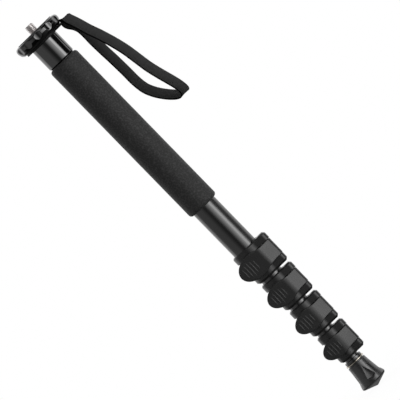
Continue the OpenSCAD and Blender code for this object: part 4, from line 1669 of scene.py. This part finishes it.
@dataclass
class Studio:
    """Camera, floor and light."""

    eye: Triple = (0.0013, -4.7, 0.01045)
    target: Triple = (0.0013, 0.0, -0.23585)
    roll: float = math.radians(44.25)
    lens: float = 424.1
    sensor: float = 36.0
    clip_end: float = 100.0
    floor_half: float = 0.16
    peak: float = 2.5
    dome: Stops = (
        (-180.0, 1.0), (-112.0, 1.0), (-104.0, 0.3), (-42.0, 0.3), (-12.0, 0.07), (2.0, 0.1),
        (22.0, 1.0), (42.0, 1.9), (56.0, 2.3), (80.0, 2.5), (104.0, 1.0), (180.0, 1.0))
    flag: Stops = (
        (-180.0, 1.0), (51.0, 1.0), (60.0, 0.0), (94.0, 0.0), (104.0, 1.0), (180.0, 1.0))
    flag_lean: float = 14.0
    flag_drop: float = 0.065
    flag_weak: float = 0.16
    height: Stops = (
        (-1.0, 0.04), (-0.52, 0.05), (-0.24, 1.0), (0.33, 1.0), (0.68, 0.15), (0.9, 0.3), (1.0, 0.7))
    floor_level: float = 0.14
    floor_glow: float = 0.95
    # painted bounce light: glow of the floor close under the foot, seen only by rays other than the camera's
    painted_bounce_glow: float = 0.29
    bounce_r: float = 0.07
    bounce_from: float = 0.06
    bounce_to: float = 0.13
    fleck_scale: float = 40.0
    fleck_dark: float = 0.95
    fleck_pale: float = 1.05
    key_turn: float = math.radians(50.0)
    key_distance: float = 1.4
    key_power: float = 1.5
    key_size: Pair = (0.5, 0.9)

    def build(self) -> None:
        """Sets up the whole studio."""
        bpy.context.scene.view_settings.view_transform = "Standard"
        self.camera()
        self.world()
        self.floor()
        self.key()

    def camera(self) -> None:
        """The camera of the photo."""
        eye, target = np.array(self.eye), np.array(self.target)
        ahead = unit(target - eye)
        right = np.array([1.0, 0.0, 0.0])
        above = np.cross(right, ahead)
        image_up = math.cos(self.roll) * above + math.sin(self.roll) * right
        image_right = math.cos(self.roll) * right - math.sin(self.roll) * above
        camera = linked("photo_camera", bpy.data.cameras.new("photo_camera"))
        turn = np.column_stack([image_right, image_up, -ahead])
        camera.matrix_world = Matrix.Translation(Vector(eye)) @ Matrix(turn.tolist()).to_4x4()
        camera.data.lens = self.lens
        camera.data.sensor_width = self.sensor
        camera.data.clip_end = self.clip_end
        bpy.context.scene.camera = camera

    @staticmethod
    def round_stops(stops: Stops, peak: float = 1.0) -> list[Pair]:
        """Levels by angle in degrees as stops of a ramp from 0 to 1."""
        return [((angle + 180.0) / 360.0, level / peak) for angle, level in stops]

    def world(self) -> None:
        """Soft boxes all round, dark beside the edge light; the camera sees plain white."""
        world = bpy.data.worlds.new("studio")
        bpy.context.scene.world = world
        shader = Shader(world)
        way = shader.add("ShaderNodeTexCoord", output="Generated")
        x, y, z = (shader.add("ShaderNodeSeparateXYZ", inputs={0: way}, output=axis) for axis in "XYZ")
        turn = x.angle_over(y * -1.0) * (1 / FULL_TURN) + 0.5
        rise = z * 0.5 + 0.5
        heights = [(height / 2 + 0.5, level) for height, level in self.height]
        drop = shader.ramp(rise, [(0.5 - self.flag_drop / 2, 1.0), (0.5, 0.0)])
        flag = shader.ramp(turn - drop * (self.flag_lean / 360.0), self.round_stops(self.flag))
        shade = (flag + (1.0 - flag) * drop * drop * self.flag_weak) * shader.ramp(rise, heights)
        light = shader.ramp(turn, self.round_stops(self.dome, self.peak)) * shade * self.peak
        seen = shader.add("ShaderNodeLightPath", output="Is Camera Ray")
        colour = shader.blend(seen, light, (1.0, 1.0, 1.0))
        shader.end("ShaderNodeOutputWorld", shader.add("ShaderNodeBackground", inputs={"Color": colour}))

    def floor(self) -> None:
        """A pale floor under the foot, which it follows when a section slides out; close round the foot it
        glows for every ray but the camera's, a painted bounce light on the foot.
        """
        height = CAD_BOX[0][2]
        half = self.floor_half
        mesh = bpy.data.meshes.new("floor")
        mesh.from_pydata([(-half, -half, height), (half, -half, height), (half, half, height),
                          (-half, half, height)], [], [(0, 1, 2, 3)])
        shader = new_shader("pale_floor")
        seen = shader.add("ShaderNodeLightPath", output="Is Camera Ray")
        fleck = shader.noise(shader.place(), self.fleck_scale)
        colour = shader.shades(fleck, self.floor_level, self.fleck_dark, self.fleck_pale)
        matt = shader.add("ShaderNodeBsdfDiffuse", inputs={"Color": colour})
        point = shader.add("ShaderNodeTexCoord", output="Object")
        x, y = (shader.add("ShaderNodeSeparateXYZ", inputs={0: point}, output=axis) for axis in "XY")
        # painted bounce light: the floor glows close round the foot for rays other than the camera's
        near = shader.ramp((x * x + y * y) * self.bounce_r ** -2,
                           [(self.bounce_from, self.painted_bounce_glow), (self.bounce_to, 0.0)])
        shown = shader.blend(seen, near, tint(self.floor_glow))
        glow = shader.add("ShaderNodeEmission", inputs={"Color": shown})
        shader.end("ShaderNodeOutputMaterial", shader.add("ShaderNodeAddShader", inputs={0: matt, 1: glow}))
        mesh.materials.append(shader.owner)
        floor = linked("floor", mesh)
        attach(floor, "section_5")

    def key(self) -> None:
        """A weak soft lamp from the right, in front."""
        data = bpy.data.lights.new("key", "AREA")
        data.shape = "RECTANGLE"
        data.size, data.size_y = self.key_size
        data.energy = self.key_power
        lamp = linked("key", data)
        middle = Vector((0.0, 0.0, self.target[2]))
        way = Vector((math.sin(self.key_turn), -math.cos(self.key_turn), 0.0))
        lamp.location = middle + way * self.key_distance
        lamp.rotation_mode = "QUATERNION"
        lamp.rotation_quaternion = (-way).to_track_quat("-Z", "Y")


def main() -> None:
    """Builds the studio and every piece, in order."""
    logging.basicConfig(level=logging.INFO, format="%(name)s %(message)s")
    Studio().build()
    palette = Palette()
    WristStrap(palette).build()
    Head(palette).build()
    Grip(palette).build()
    tubes = Tubes(palette)
    tubes.build()
    for number, name in enumerate(tubes.names[:-1], start=1):
        FlipLock(palette, number, float(reach(name)[1][0])).build()
    Foot(palette).build()


if __name__ == "__main__":
    main()
